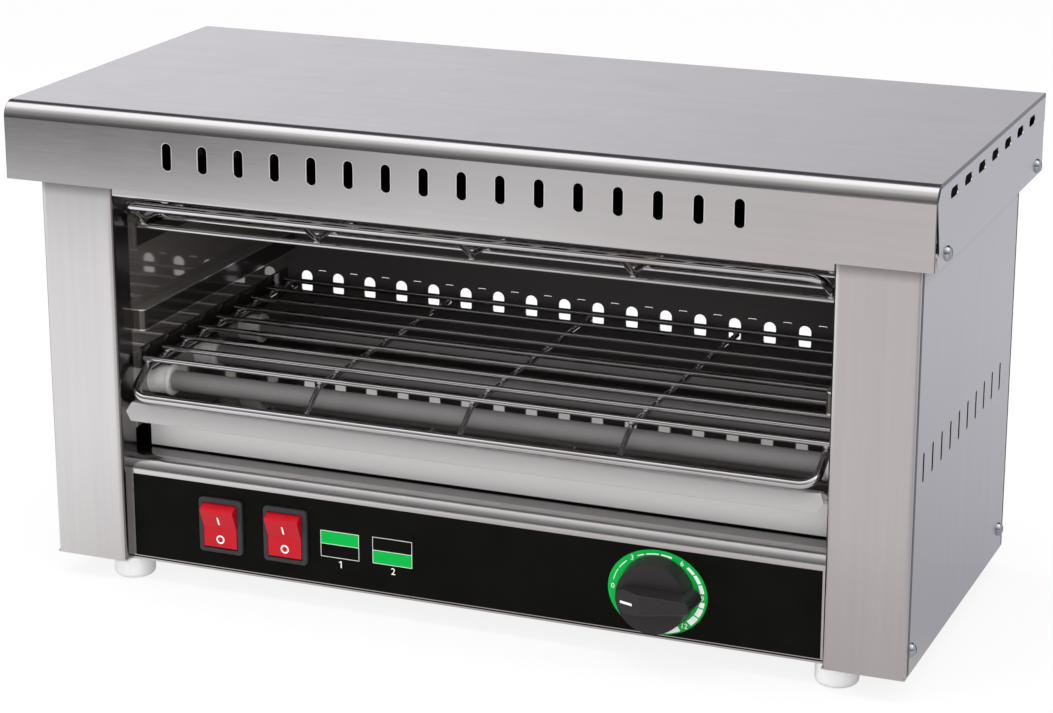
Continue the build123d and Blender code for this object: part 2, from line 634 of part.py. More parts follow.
# Rocker switches: a bezel and body that snap into the panel, and a rocker on two trunnions
PIVOT_Y = OVERLAY_Y - BEZEL_THICKNESS + ROCKER_DEPTH - ROCKER_PROUD
for number, x in enumerate(SWITCH_X, start=1):
    with BuildPart() as housing:
        with BuildSketch(Plane.XZ.offset(-OVERLAY_Y)):
            with Locations((x, SWITCH_Z)):
                RectangleRounded(BEZEL_WIDTH, BEZEL_HEIGHT, BEZEL_CORNER)
        extrude(amount=BEZEL_THICKNESS)
        fillet(housing.faces().sort_by(Axis.Y)[0].edges(), radius=BEZEL_EDGE)
        with BuildSketch(Plane.XZ.offset(-OVERLAY_Y)):
            with Locations((x, SWITCH_Z)):
                Rectangle(*SWITCH_BODY)
        extrude(amount=-SWITCH_BODY_DEPTH)
        with BuildSketch(Plane.XZ.offset(BEZEL_THICKNESS - OVERLAY_Y)):
            with Locations((x, SWITCH_Z)):
                Rectangle(*SWITCH_CAVITY)
        extrude(amount=-BEZEL_THICKNESS - SWITCH_CAVITY_DEPTH, mode=Mode.SUBTRACT)
        with Locations(Plane((x, PIVOT_Y, SWITCH_Z), z_dir=(1, 0, 0))):
            Cylinder(TRUNNION + FIT, SWITCH_BODY[0] - SWITCH_BODY_WALL / 2, mode=Mode.SUBTRACT)
        with Locations([
            (x, OVERLAY_Y + SWITCH_BODY_DEPTH, SWITCH_Z + SWITCH_BLADE_STEP * side) for side in (-1, 1)
        ]):
            Box(
                SWITCH_BLADE_WIDTH,
                SWITCH_BLADE_LENGTH,
                SWITCH_BLADE_THICKNESS,
                align=(Align.CENTER, Align.MIN, Align.CENTER),
            )
    housing.part.label = f"switch_{number}_housing"
    export_step(housing.part, f"parts/switch_{number}_housing.step")

    tip_angle = degrees(atan2(ROCKER_TIP[1], ROCKER_TIP[0]))
    outward = (0, -cos(radians(ROCKER_TILT)), -sin(radians(ROCKER_TILT)))
    rocker_plane = Plane((x, PIVOT_Y, SWITCH_Z), x_dir=outward, z_dir=(-1, 0, 0))
    with BuildPart() as rocker:
        with BuildSketch(rocker_plane):
            with BuildLine():
                Polyline((ROCKER_TIP[0], -ROCKER_TIP[1]), (ROCKER_DEPTH, 0), ROCKER_TIP)
                upper = CenterArc((0, 0), hypot(*ROCKER_TIP), tip_angle, ROCKER_END_ARC)
                lower = CenterArc((0, 0), hypot(*ROCKER_TIP), -tip_angle, -ROCKER_END_ARC)
                Polyline(
                    upper @ 1,
                    (-ROCKER_BACK, ROCKER_BACK_HALF),
                    (-ROCKER_BACK, -ROCKER_BACK_HALF),
                    lower @ 1,
                )
            make_face()
        extrude(amount=ROCKER_WIDTH / 2, both=True)
        crosswise = rocker.edges().filter_by(Axis.X)
        tips = [edge for edge in crosswise if rocker_plane.to_local_coords(edge.center()).X > ROCKER_DEPTH + FIT]
        fillet(tips, radius=ROCKER_CROWN)
        with Locations(rocker_plane):
            Cylinder(TRUNNION, ROCKER_WIDTH + 2 * TRUNNION_LENGTH)
    rocker.part.label = f"switch_{number}_rocker"
    export_step(rocker.part, f"parts/switch_{number}_rocker.step")

# Timer: a clockwork movement behind the panel, held by two screws under the knob
with BuildPart() as timer_body:
    with BuildSketch(Plane.XZ.offset(-PANEL_BACK)):
        with Locations((TIMER_X, TIMER_Z)):
            RectangleRounded(TIMER_SIZE, TIMER_SIZE, TIMER_CORNER)
    extrude(amount=-TIMER_DEPTH)
    with BuildSketch(Plane.XZ.offset(-PANEL_BACK)):
        with Locations((TIMER_X, TIMER_Z)):
            Circle(SHAFT_RADIUS + FIT)
    extrude(amount=-SHAFT_BEARING - RUN_GAP, mode=Mode.SUBTRACT)
    with BuildSketch(Plane.XZ.offset(-PANEL_BACK)):
        with Locations(TIMER_SCREW_POINTS):
            Circle(TIMER_SCREW_SHANK + FIT)
    extrude(amount=-TIMER_SCREW_GRIP - RUN_GAP, mode=Mode.SUBTRACT)
timer_body.part.label = "timer_body"
export_step(timer_body.part, "parts/timer_body.step")

timer_screw = dome_screw(
    TIMER_SCREW_SHANK,
    TIMER_SCREW_HEAD,
    TIMER_SCREW_HEAD_HEIGHT,
    PANEL_BACK - OVERLAY_Y + TIMER_SCREW_GRIP,
)
with BuildPart() as timer_screws:
    with Locations([Plane((x, OVERLAY_Y, z), z_dir=(0, -1, 0)) for x, z in TIMER_SCREW_POINTS]):
        add(timer_screw)
timer_screws.part.label = "timer_screws"
export_step(timer_screws.part, "parts/timer_screws.step")

# Timer shaft and knob turn together; the grip's small end is a nose, the mark is at the other end
KNOB_BASE_Y = OVERLAY_Y - KNOB_LIFT
KNOB_BORE_END_Y = KNOB_BASE_Y - KNOB_BORE_DEPTH
with BuildPart() as timer_shaft:
    with BuildSketch(Plane.XZ.offset(-KNOB_BORE_END_Y)):
        with Locations((TIMER_X, TIMER_Z)):
            Circle(SHAFT_RADIUS)
    extrude(amount=KNOB_BORE_END_Y - PANEL_BACK - SHAFT_BEARING)
timer_shaft.part.label = "timer_shaft"
export_step(timer_shaft.part, "parts/timer_shaft.step")

grip_direction = (cos(radians(KNOB_REST_ANGLE)), 0, sin(radians(KNOB_REST_ANGLE)))
knob_plane = Plane((TIMER_X, KNOB_BASE_Y, TIMER_Z), x_dir=grip_direction, z_dir=(0, -1, 0))
slope_plane = Plane(knob_plane.origin, x_dir=grip_direction, z_dir=(grip_direction[2], 0, -grip_direction[0]))
skirt_taper = degrees(atan2(KNOB_RADIUS - KNOB_TOP_RADIUS, KNOB_SKIRT))
with BuildPart() as timer_knob:
    with BuildSketch(knob_plane):
        Circle(KNOB_RADIUS)
    extrude(amount=KNOB_SKIRT, taper=skirt_taper)
    with BuildSketch(knob_plane.offset(KNOB_NOSE_LIFT)):
        with Locations((-KNOB_GRIP_END, 0)):
            Circle(KNOB_GRIP_RADIUS)
        with Locations((KNOB_NOSE_END, 0)):
            Circle(KNOB_NOSE_RADIUS)
        make_hull()
    extrude(amount=KNOB_HEIGHT - KNOB_NOSE_LIFT, taper=KNOB_GRIP_TAPER)
    with BuildSketch(slope_plane):
        with BuildLine():
            Polyline(
                (-KNOB_SLOPE_START, KNOB_HEIGHT),
                (-KNOB_SLOPE_END, KNOB_SLOPE_LOW),
                (-KNOB_SLOPE_END, KNOB_HEIGHT),
                close=True,
            )
        make_face()
    extrude(amount=KNOB_RADIUS, both=True, mode=Mode.SUBTRACT)
    fillet(timer_knob.faces().sort_by(Axis.Y)[0].edges(), radius=KNOB_EDGE)
    with BuildSketch(knob_plane):
        Circle(KNOB_RECESS_RADIUS)
        Circle(KNOB_HUB, mode=Mode.SUBTRACT)
    extrude(amount=KNOB_RECESS_DEPTH, mode=Mode.SUBTRACT)
    with BuildSketch(knob_plane):
        Circle(SHAFT_RADIUS)
    extrude(amount=KNOB_BORE_DEPTH, mode=Mode.SUBTRACT)
timer_knob.part.label = "timer_knob"
export_step(timer_knob.part, "parts/timer_knob.step")

# Shelf over the control space, with a front flange down to the panel's ledge
SHELF_FRONT = FRONT + TRAY_FRONT + 2 * SHEET + APRON_GAP
with BuildPart() as tray_shelf:
    with BuildSketch(Plane.YZ):
        with BuildLine():
            FilletPolyline(
                (SHELF_FRONT, LEDGE_Z),
                (SHELF_FRONT, SHELF_Z),
                (REAR_INNER, SHELF_Z),
                radius=BEND,
            )
            offset(amount=SHEET, side=Side.RIGHT)
        make_face()
    extrude(amount=WALL_X + SHEET, both=True)
tray_shelf.part.label = "tray_shelf"
export_step(tray_shelf.part, "parts/tray_shelf.step")

# Chamber walls stand on the shelf and carry the heaters' end caps in holes
with BuildPart() as chamber_right_wall:
    with BuildSketch(Plane.YZ.offset(WALL_X)):
        wall_front = FRONT + POST_RETURN
        with Locations(((wall_front + REAR_INNER) / 2, (SHELF_Z + CEILING_Z) / 2)):
            Rectangle(REAR_INNER - wall_front, CEILING_Z - SHELF_Z)
        with Locations([(y, z) for z in (LOWER_TUBE_Z, UPPER_TUBE_Z) for y in TUBE_Y]):
            Circle(CAP_NECK + HOLE_PLAY, mode=Mode.SUBTRACT)
    extrude(amount=SHEET)
chamber_right_wall.part.label = "chamber_right_wall"
export_step(chamber_right_wall.part, "parts/chamber_right_wall.step")

with BuildPart() as chamber_left_wall:
    mirror(chamber_right_wall.part, about=Plane.YZ)
chamber_left_wall.part.label = "chamber_left_wall"
export_step(chamber_left_wall.part, "parts/chamber_left_wall.step")

# Chamber ceiling, the upper reflector
with BuildPart() as chamber_ceiling:
    with BuildSketch(Plane.XY.offset(CEILING_Z)):
        ceiling_front = FRONT + LINTEL_SETBACK + SHEET
        with Locations((0, (ceiling_front + REAR_INNER) / 2)):
            Rectangle(2 * OPENING_X, REAR_INNER - ceiling_front)
        with Locations((0, (FRONT + POST_RETURN + REAR_INNER) / 2)):
            Rectangle(2 * (WALL_X + SHEET), REAR_INNER - FRONT - POST_RETURN)
    extrude(amount=SHEET)
chamber_ceiling.part.label = "chamber_ceiling"
export_step(chamber_ceiling.part, "parts/chamber_ceiling.step")

# Runners: angles under the rack and the guard, and a closed channel for a higher rack place
WIRE_STACK = GRID_WIRE + 2 * RIM_WIRE
RUNNER_LEVELS = {
    "rack_runners": (RACK_Z - WIRE_STACK - RUN_GAP, 1),
    "guard_runners": (GUARD_Z - GRID_WIRE, -1),
}
for label, (seat, web) in RUNNER_LEVELS.items():
    foot = seat - SHEET if web > 0 else seat
    with BuildPart() as runners:
        with BuildSketch(Plane.XZ.offset(-FRONT - RUNNER_FRONT)):
            with BuildLine():
                Polyline(
                    (WALL_X - RUNNER_WIDTH, foot),
                    (WALL_X, foot),
                    (WALL_X, foot + web * RUNNER_WEB),
                    (WALL_X - SHEET, foot + web * RUNNER_WEB),
                    (WALL_X - SHEET, foot + web * SHEET),
                    (WALL_X - RUNNER_WIDTH, foot + web * SHEET),
                    close=True,
                )
            make_face()
        extrude(amount=FRONT + RUNNER_FRONT - REAR_INNER + RUNNER_REAR_GAP)
        mirror(about=Plane.YZ)
    runners.part.label = label
    export_step(runners.part, f"parts/{label}.step")

with BuildPart() as spare_runners:
    with BuildSketch(Plane.XY.offset(RACK_Z + SPARE_RUNNER_RISE)):
        with BuildLine():
            FilletPolyline(
                (WALL_X, FRONT + SPARE_RUNNER_FRONT),
                (WALL_X - RUNNER_WIDTH, FRONT + SPARE_RUNNER_FRONT),
                (WALL_X - RUNNER_WIDTH, REAR_INNER - RUNNER_REAR_GAP),
                (WALL_X, REAR_INNER - RUNNER_REAR_GAP),
                radius=RUNNER_CORNER,
            )
            Line((WALL_X, REAR_INNER - RUNNER_REAR_GAP), (WALL_X, FRONT + SPARE_RUNNER_FRONT))
        make_face()
    extrude(amount=SPARE_RUNNER_DEPTH)
    wall_side = spare_runners.faces().sort_by(Axis.X)[-1]
    offset(amount=-SHEET, openings=wall_side)
    mirror(about=Plane.YZ)
spare_runners.part.label = "spare_runners"
export_step(spare_runners.part, "parts/spare_runners.step")

# Heaters: quartz tubes with ceramic end caps, a resistance winding inside and a bus strip each end
CAP_FACE_X = WALL_X - CAP_LENGTH
SOCKET_X = CAP_FACE_X + CAP_SOCKET
NECK_END_X = WALL_X + CAP_NECK_LENGTH
TUBE_PLACES = ("front", "middle", "rear")
for level, z in (("lower", LOWER_TUBE_Z), ("upper", UPPER_TUBE_Z)):
    for place, y in zip(TUBE_PLACES, TUBE_Y):
        with BuildPart() as tube:
            with BuildSketch(Plane.YZ):
                with Locations((y, z)):
                    Circle(TUBE_RADIUS)
                    Circle(TUBE_RADIUS - TUBE_WALL, mode=Mode.SUBTRACT)
            extrude(amount=SOCKET_X, both=True)
        tube.part.label = f"{level}_{place}_tube"
        export_step(tube.part, f"parts/{level}_{place}_tube.step")

    with BuildPart() as right_caps:
        with BuildSketch(Plane.YZ.offset(CAP_FACE_X)):
            with Locations([(y, z) for y in TUBE_Y]):
                Circle(CAP_COLLAR)
        extrude(amount=CAP_COLLAR_LENGTH)
        chamfer(right_caps.edges().filter_by(GeomType.CIRCLE), length=CAP_EDGE)
        with BuildSketch(Plane.YZ.offset(CAP_FACE_X)):
            with Locations([(y, z) for y in TUBE_Y]):
                Circle(CAP_RADIUS)
        extrude(amount=CAP_LENGTH)
        with BuildSketch(Plane.YZ.offset(WALL_X)):
            with Locations([(y, z) for y in TUBE_Y]):
                Circle(CAP_NECK)
        extrude(amount=CAP_NECK_LENGTH)
        with BuildSketch(Plane.YZ.offset(CAP_FACE_X)):
            with Locations([(y, z) for y in TUBE_Y]):
                Circle(TUBE_RADIUS + FIT)
        extrude(amount=CAP_SOCKET, mode=Mode.SUBTRACT)
        with BuildSketch(Plane.YZ.offset(SOCKET_X)):
            with Locations([(y, z) for y in TUBE_Y]):
                Circle(PIN_RADIUS + FIT)
        extrude(amount=NECK_END_X - SOCKET_X, mode=Mode.SUBTRACT)
    right_caps.part.label = f"{level}_right_caps"
    export_step(right_caps.part, f"parts/{level}_right_caps.step")

    with BuildPart() as left_caps:
        mirror(right_caps.part, about=Plane.YZ)
    left_caps.part.label = f"{level}_left_caps"
    export_step(left_caps.part, f"parts/{level}_left_caps.step")

heater_axes = [(y, z) for z in (LOWER_TUBE_Z, UPPER_TUBE_Z) for y in TUBE_Y]
with BuildPart() as heater_windings:
    with BuildSketch(Plane.YZ):
        with Locations(heater_axes):
            Circle(COIL_RADIUS)
    extrude(amount=SOCKET_X, both=True)
    with BuildSketch(Plane.YZ):
        with Locations(heater_axes):
            Circle(PIN_RADIUS)
    extrude(amount=NECK_END_X + SHEET + PIN_REACH, both=True)
heater_windings.part.label = "heater_windings"
export_step(heater_windings.part, "parts/heater_windings.step")

with BuildPart() as bus_strips:
    with BuildSketch(Plane.YZ.offset(NECK_END_X)):
        with Locations([(TUBE_Y[1], z) for z in (LOWER_TUBE_Z, UPPER_TUBE_Z)]):
            Rectangle(TUBE_Y[-1] - TUBE_Y[0] + 2 * BUS_OVERLAP, 2 * BUS_HALF_HEIGHT)
        with Locations(heater_axes):
            Circle(PIN_RADIUS + FIT, mode=Mode.SUBTRACT)
    right_strips = extrude(amount=SHEET)
    mirror(right_strips, about=Plane.YZ)
bus_strips.part.label = "bus_strips"
export_step(bus_strips.part, "parts/bus_strips.step")

# Wirework: the pull-out rack, and the same turned over as the guard under the upper heaters
RIM_Y = FRONT + RIM_SETBACK
BAR_PITCH = (BODY_DEPTH - BAR_FIRST - BAR_LAST) / (BARS - 1)
BAR_Y = [FRONT + BAR_FIRST + BAR_PITCH * i for i in range(BARS)]
CROSS_PITCH = 2 * (RACK_HALF_WIDTH - CROSS_EDGE) / (CROSS_WIRES - 1)
BACK_END_Y = BAR_Y[-1] + BAR_OVERHANG
for level, grid_z, up in (("rack", RACK_Z, 1), ("guard", GUARD_Z, -1)):
    side_z = grid_z - up * (GRID_WIRE + RIM_WIRE)
    rim_z = grid_z - up * RIM_DROP
    cross_z = grid_z - up * 2 * GRID_WIRE
    with BuildPart() as rim:
        with BuildLine() as rim_path:
            FilletPolyline(
                (-RACK_HALF_WIDTH, BACK_END_Y, side_z),
                (-RACK_HALF_WIDTH, BAR_Y[0], side_z),
                (-RACK_HALF_WIDTH, RIM_Y, rim_z),
                (RACK_HALF_WIDTH, RIM_Y, rim_z),
                (RACK_HALF_WIDTH, BAR_Y[0], side_z),
                (RACK_HALF_WIDTH, BACK_END_Y, side_z),
                radius=(RIM_KNEE, RIM_CORNER, RIM_CORNER, RIM_KNEE),
            )
        with BuildSketch(Plane((-RACK_HALF_WIDTH, BACK_END_Y, side_z), z_dir=(0, -1, 0))):
            Circle(RIM_WIRE)
        sweep(path=rim_path.wire())
    rim.part.label = f"{level}_rim"
    export_step(rim.part, f"parts/{level}_rim.step")

    with BuildPart() as bars:
        with BuildSketch(Plane.YZ):
            with Locations([(y, grid_z) for y in BAR_Y]):
                Circle(GRID_WIRE)
        extrude(amount=RACK_HALF_WIDTH + BAR_OVERHANG, both=True)
    bars.part.label = f"{level}_bars"
    export_step(bars.part, f"parts/{level}_bars.step")

    run, rise = BAR_Y[0] - RIM_Y, cross_z - rim_z
    slope = hypot(run, rise)
    start = (0, RIM_Y + RIM_WIRE * run / slope, rim_z + RIM_WIRE * rise / slope)
    with BuildPart() as cross_wire:
        with BuildLine() as cross_path:
            FilletPolyline(
                start,
                (0, BAR_Y[0], cross_z),
                (0, BACK_END_Y, cross_z),
                radius=RIM_KNEE,
            )
        with BuildSketch(Plane(start, z_dir=(0, run, rise))):
            Circle(GRID_WIRE)
        sweep(path=cross_path.wire())
    with BuildPart() as cross_wires:
        with GridLocations(CROSS_PITCH, 0, CROSS_WIRES, 1):
            add(cross_wire.part)
    cross_wires.part.label = f"{level}_cross_wires"
    export_step(cross_wires.part, f"parts/{level}_cross_wires.step")

# Crumb tray: a shallow pan, and a folded front with a pointed lip to pull it by
TRAY_FLOOR = SHELF_Z + RUN_GAP
with BuildPart() as crumb_tray:
    with BuildSketch(Plane.XY.offset(TRAY_FLOOR)):
        tray_front = FRONT + TRAY_FRONT + SHEET
        tray_rear = REAR_INNER - TRAY_REAR_GAP
        with Locations((0, (tray_front + tray_rear) / 2)):
            Rectangle(2 * (WALL_X - TRAY_SIDE_GAP), tray_rear - tray_front)
    extrude(amount=TRAY_WALL)
    offset(amount=-SHEET, openings=crumb_tray.faces().sort_by(Axis.Z)[-1])
crumb_tray.part.label = "crumb_tray"
export_step(crumb_tray.part, "parts/crumb_tray.step")

with BuildPart() as tray_front_lip:
    with BuildSketch(Plane.YZ):
        with BuildLine():
            FilletPolyline(
                (FRONT + TRAY_FRONT, LEDGE_Z + APRON_GAP),
                (FRONT + TRAY_FRONT, BOTTOM + APRON_TOP),
                (FRONT + LIP_CREST, BOTTOM + LIP_TOP),
                (FRONT + LIP_SETBACK, BOTTOM + LIP_BOTTOM),
                radius=BEND,
            )
            offset(amount=SHEET, side=Side.RIGHT)
        make_face()
    extrude(amount=OPENING_X, both=True)
    with BuildSketch(Plane.XZ.offset(-FRONT)):
        with BuildLine():
            Polyline(
                (0, BOTTOM),
                (OPENING_X - APRON_SIDE_GAP, BOTTOM),
                (OPENING_X - APRON_SIDE_GAP, BOTTOM + APRON_TOP),
                (OPENING_X - LIP_BOTTOM_GAP, BOTTOM + LIP_BOTTOM),
                (OPENING_X - LIP_POINT_GAP, BOTTOM + (LIP_TOP + LIP_BOTTOM) / 2),
                (OPENING_X - LIP_TOP_GAP, BOTTOM + LIP_TOP),
                (0, BOTTOM + LIP_TOP),
            )
            mirror(about=Plane.YZ)
        make_face()
    extrude(amount=-TRAY_FRONT - SHEET, mode=Mode.INTERSECT)
tray_front_lip.part.label = "tray_front_lip"
export_step(tray_front_lip.part, "parts/tray_front_lip.step")

# Supply terminals and the cable gland
BLOCK_Y = REAR_INNER - TERMINAL_REAR_GAP
with BuildPart() as terminal_block:
    with Locations((INLET_X, BLOCK_Y, FLOOR)):
        Box(
            TERMINAL_WIDTH,
            TERMINAL_DEPTH,
            TERMINAL_TALL,
            align=(Align.CENTER, Align.CENTER, Align.MIN),
        )
    with BuildSketch(Plane.XY.offset(FLOOR + TERMINAL_TALL)):
        with Locations((INLET_X, BLOCK_Y)):
            with GridLocations(TERMINAL_PITCH, 0, TERMINAL_WAYS, 1):
                Circle(TERMINAL_WELL)
    extrude(amount=-TERMINAL_WELL_DEPTH, mode=Mode.SUBTRACT)
terminal_block.part.label = "terminal_block"
export_step(terminal_block.part, "parts/terminal_block.step")

INLET_Z = BOTTOM + INLET_HEIGHT
with BuildPart() as cable_gland:
    with BuildSketch(Plane.XZ.offset(-REAR)):
        with Locations((INLET_X, INLET_Z)):
            RegularPolygon(GLAND_FLANGE, HEX_SIDES)
    extrude(amount=-GLAND_FLANGE_LENGTH)
    with BuildSketch(Plane.XZ.offset(-REAR - GLAND_FLANGE_LENGTH)):
        with Locations((INLET_X, INLET_Z)):
            Circle(GLAND_HEAD)
    extrude(amount=-GLAND_HEAD_LENGTH)
    fillet(cable_gland.faces().sort_by(Axis.Y)[-1].edges(), radius=GLAND_HEAD_EDGE)
    with BuildSketch(Plane.XZ.offset(-REAR)):
        with Locations((INLET_X, INLET_Z)):
            Circle(GLAND_THREAD)
    extrude(amount=SHEET + GLAND_INSIDE)
    with BuildSketch(Plane.XZ.offset(SHEET + GLAND_INSIDE - REAR)):
        with Locations((INLET_X, INLET_Z)):
            Circle(GLAND_BORE)
    extrude(amount=-GLAND_INSIDE - SHEET - GLAND_REACH, mode=Mode.SUBTRACT)
cable_gland.part.label = "cable_gland"
export_step(cable_gland.part, "parts/cable_gland.step")

with BuildPart() as gland_nut:
    with BuildSketch(Plane.XZ.offset(-REAR_INNER)):
        with Locations((INLET_X, INLET_Z)):
            RegularPolygon(GLAND_NUT, HEX_SIDES)
            Circle(GLAND_THREAD + FIT, mode=Mode.SUBTRACT)
    extrude(amount=GLAND_NUT_LENGTH)
gland_nut.part.label = "gland_nut"
export_step(gland_nut.part, "parts/gland_nut.step")

# Wiring loom: terminals to switches, switches to timer and bus strips, and a link up each side
blade_y = OVERLAY_Y + SWITCH_BODY_DEPTH + SWITCH_BLADE_LENGTH
alley_y = FRONT + WIRE_ALLEY
well_z = FLOOR + TERMINAL_TALL - TERMINAL_WELL_DEPTH
timer_back = PANEL_BACK + TIMER_DEPTH
strip_x = NECK_END_X + SHEET
low_z = SWITCH_Z - SWITCH_BLADE_STEP
high_z = SWITCH_Z + SWITCH_BLADE_STEP
wire_routes = []
for i, x in enumerate(SWITCH_X):
    well_x = INLET_X - TERMINAL_PITCH * (1 - i)
    over_z = FLOOR + TERMINAL_TALL + WIRE_LIFT + WIRE_STEP * i
    wire_routes.append([
        (well_x, BLOCK_Y, well_z),
        (well_x, BLOCK_Y, over_z),
        (x, BLOCK_Y - WIRE_ALLEY, over_z),
        (x, alley_y + WIRE_STEP, high_z),
        (x, blade_y, high_z),
    ])
wire_routes.append([
    (SWITCH_X[0], blade_y, low_z),
    (SWITCH_X[0], blade_y + WIRE_LINK, low_z),
    (SWITCH_X[0], alley_y, low_z - WIRE_DIP),
    (TIMER_X - WIRE_LINK, alley_y, low_z - WIRE_DIP),
    (TIMER_X - WIRE_LINK, timer_back, low_z - WIRE_DIP),
])
for x, y, side in ((SWITCH_X[1], blade_y, -1), (TIMER_X + WIRE_LINK, timer_back, 1)):
    up_x = side * (strip_x + WIRE_OUT)
    entry_y = TUBE_Y[0] + WIRE_ENTRY
    wire_routes.append([
        (x, y, low_z),
        (x, alley_y + WIRE_STEP, low_z),
        (up_x, entry_y + WIRE_STEP, low_z),
        (up_x, entry_y + WIRE_STEP, LOWER_TUBE_Z),
        (side * strip_x, entry_y + WIRE_STEP, LOWER_TUBE_Z),
    ])
    link_y = TUBE_Y[1] + WIRE_ENTRY
    wire_routes.append([
        (side * strip_x, link_y, LOWER_TUBE_Z),
        (up_x, link_y, LOWER_TUBE_Z),
        (up_x, link_y, UPPER_TUBE_Z),
        (side * strip_x, link_y, UPPER_TUBE_Z),
    ])
wires = []
for route in wire_routes:
    with BuildPart() as wire:
        with BuildLine() as wire_path:
            FilletPolyline(*route, radius=WIRE_BEND)
        with BuildSketch(Plane(route[0], z_dir=Vector(*route[1]) - Vector(*route[0]))):
            Circle(WIRE_RADIUS)
        sweep(path=wire_path.wire())
    wires.append(wire.part)
with BuildPart() as wiring_loom:
    add(wires)
wiring_loom.part.label = "wiring_loom"
export_step(wiring_loom.part, "parts/wiring_loom.step")
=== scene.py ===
# %% [markdown]
# A one-level countertop toaster, dressed for its photograph. The sheet metal, wirework, heaters and
# switches come from the packed model and keep their place. This lesson adds what a modeller adds on
# top: printed marks, weld beads, wound heater wire and finishes that behave like the real ones.

# %% Load the packed toaster
import json
import math

import bmesh
import bpy
import numpy as np
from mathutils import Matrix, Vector


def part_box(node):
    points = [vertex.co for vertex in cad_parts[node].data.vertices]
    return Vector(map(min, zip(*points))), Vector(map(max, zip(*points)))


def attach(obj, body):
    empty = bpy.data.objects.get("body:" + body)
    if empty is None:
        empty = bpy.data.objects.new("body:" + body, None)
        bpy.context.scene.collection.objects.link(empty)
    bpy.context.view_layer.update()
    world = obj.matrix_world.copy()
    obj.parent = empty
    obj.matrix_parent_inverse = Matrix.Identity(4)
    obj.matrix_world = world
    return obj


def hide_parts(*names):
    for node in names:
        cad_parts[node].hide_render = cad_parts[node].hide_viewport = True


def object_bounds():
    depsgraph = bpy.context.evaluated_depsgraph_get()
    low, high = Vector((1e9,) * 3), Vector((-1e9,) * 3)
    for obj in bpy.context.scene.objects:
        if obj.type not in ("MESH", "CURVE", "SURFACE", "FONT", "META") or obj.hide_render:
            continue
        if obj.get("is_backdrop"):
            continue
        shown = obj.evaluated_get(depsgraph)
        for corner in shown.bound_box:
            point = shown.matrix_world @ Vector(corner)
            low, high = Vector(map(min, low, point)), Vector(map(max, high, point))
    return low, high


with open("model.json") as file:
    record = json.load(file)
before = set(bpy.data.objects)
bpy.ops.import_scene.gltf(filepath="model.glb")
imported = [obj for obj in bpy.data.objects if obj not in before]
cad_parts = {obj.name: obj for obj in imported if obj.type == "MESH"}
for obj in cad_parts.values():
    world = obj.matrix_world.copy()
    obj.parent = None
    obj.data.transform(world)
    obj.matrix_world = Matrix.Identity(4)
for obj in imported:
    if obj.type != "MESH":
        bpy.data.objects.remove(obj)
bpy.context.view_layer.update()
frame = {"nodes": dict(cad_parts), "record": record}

nodes = frame["nodes"]
slot_of = {row["node"]: row["material_slot"] for row in frame["record"]["subparts"]}

# %% [markdown]
# The marks, beads and coils are small solids. They could be put together by hand from cubes and
# circles. But each is a surface with two parameters, so it is worked out as one array of points on a
# grid. A flat print is such a grid given a little thickness. The helpers close every edge, because a
# piece with an open edge looks hollow from behind.

# %% Plates from a grid
MM = 0.001


def grid_quads(rows, columns, first=0):
    """Quads between neighbours of a rows by columns grid: (i, j), (i, j+1), (i+1, j+1), (i+1, j)."""
    i, j = np.meshgrid(np.arange(rows - 1), np.arange(columns - 1), indexing="ij")
    corner = first + i * columns + j
    return np.stack([corner, corner + 1, corner + columns + 1, corner + columns], -1).reshape(-1, 4)


def slab(face, depth, ring=False):
    """A closed plate: the grid `face`, the same grid moved by `depth`, and walls along the rims.
    With ring the last column meets the first again, so only the two row rims get a wall."""
    rows, columns = face.shape[:2]
    if ring:
        face = np.concatenate([face, face[:, :1]], 1)
        columns += 1
    points = np.concatenate([face.reshape(-1, 3), (face + depth).reshape(-1, 3)])
    back = rows * columns
    quads = [grid_quads(rows, columns), grid_quads(rows, columns, back)[:, ::-1]]
    index = np.arange(back).reshape(rows, columns)
    rims = [index[0], index[-1][::-1]]
    if not ring:
        rims += [index[:, 0][::-1], index[:, -1]]
    for rim in rims:
        quads.append(np.stack([rim[1:], rim[:-1], rim[:-1] + back, rim[1:] + back], -1))
    return points, np.concatenate(quads)


print("a grid of 3 by 3 points has", len(grid_quads(3, 3)), "faces")

# %% [markdown]
# Wire, weld beads and the drawn edge of a slot are round in section. A curve with a bevel could make
# the wire. A circle carried along an array of points does the same, also closes rings and ends, and
# lets every piece go through the same few lines.

# %% Round wire, closed beads and stretched balls


def tube(path, radius, sides=10):
    """A round wire: at each point of the path, a circle of `radius` in the plane across the path.
    The two ends are closed by rows of one point each."""
    path = np.asarray(path, float)
    along = np.gradient(path, axis=0)
    along /= np.linalg.norm(along, axis=1, keepdims=True)
    pick = np.where(np.abs(along[:, :1]) < 0.9, np.array([[1.0, 0, 0]]), np.array([[0, 0, 1.0]]))
    across = np.cross(along, pick)
    across /= np.linalg.norm(across, axis=1, keepdims=True)
    over = np.cross(along, across)
    turn = np.linspace(0, 2 * math.pi, sides + 1)[None, :, None]
    rings = path[:, None] + radius * (np.cos(turn) * across[:, None] + np.sin(turn) * over[:, None])
    ends = [np.repeat(path[k][None, None], sides + 1, 1) for k in (0, -1)]
    rings = np.concatenate([ends[0], rings, ends[1]])
    return rings.reshape(-1, 3), grid_quads(len(rings), sides + 1)[:, ::-1]


def loop(path, outward, side, radius, sides=8):
    """A closed bead: at each point of a closed path, a circle in the plane of `outward` and `side`."""
    turn = np.linspace(0, 2 * math.pi, sides + 1)[None, :, None]
    rings = path[:, None] + radius * (np.cos(turn) * outward[:, None] + np.sin(turn) * side)
    rings = np.concatenate([rings, rings[:1]])
    return rings.reshape(-1, 3), grid_quads(len(rings), sides + 1)


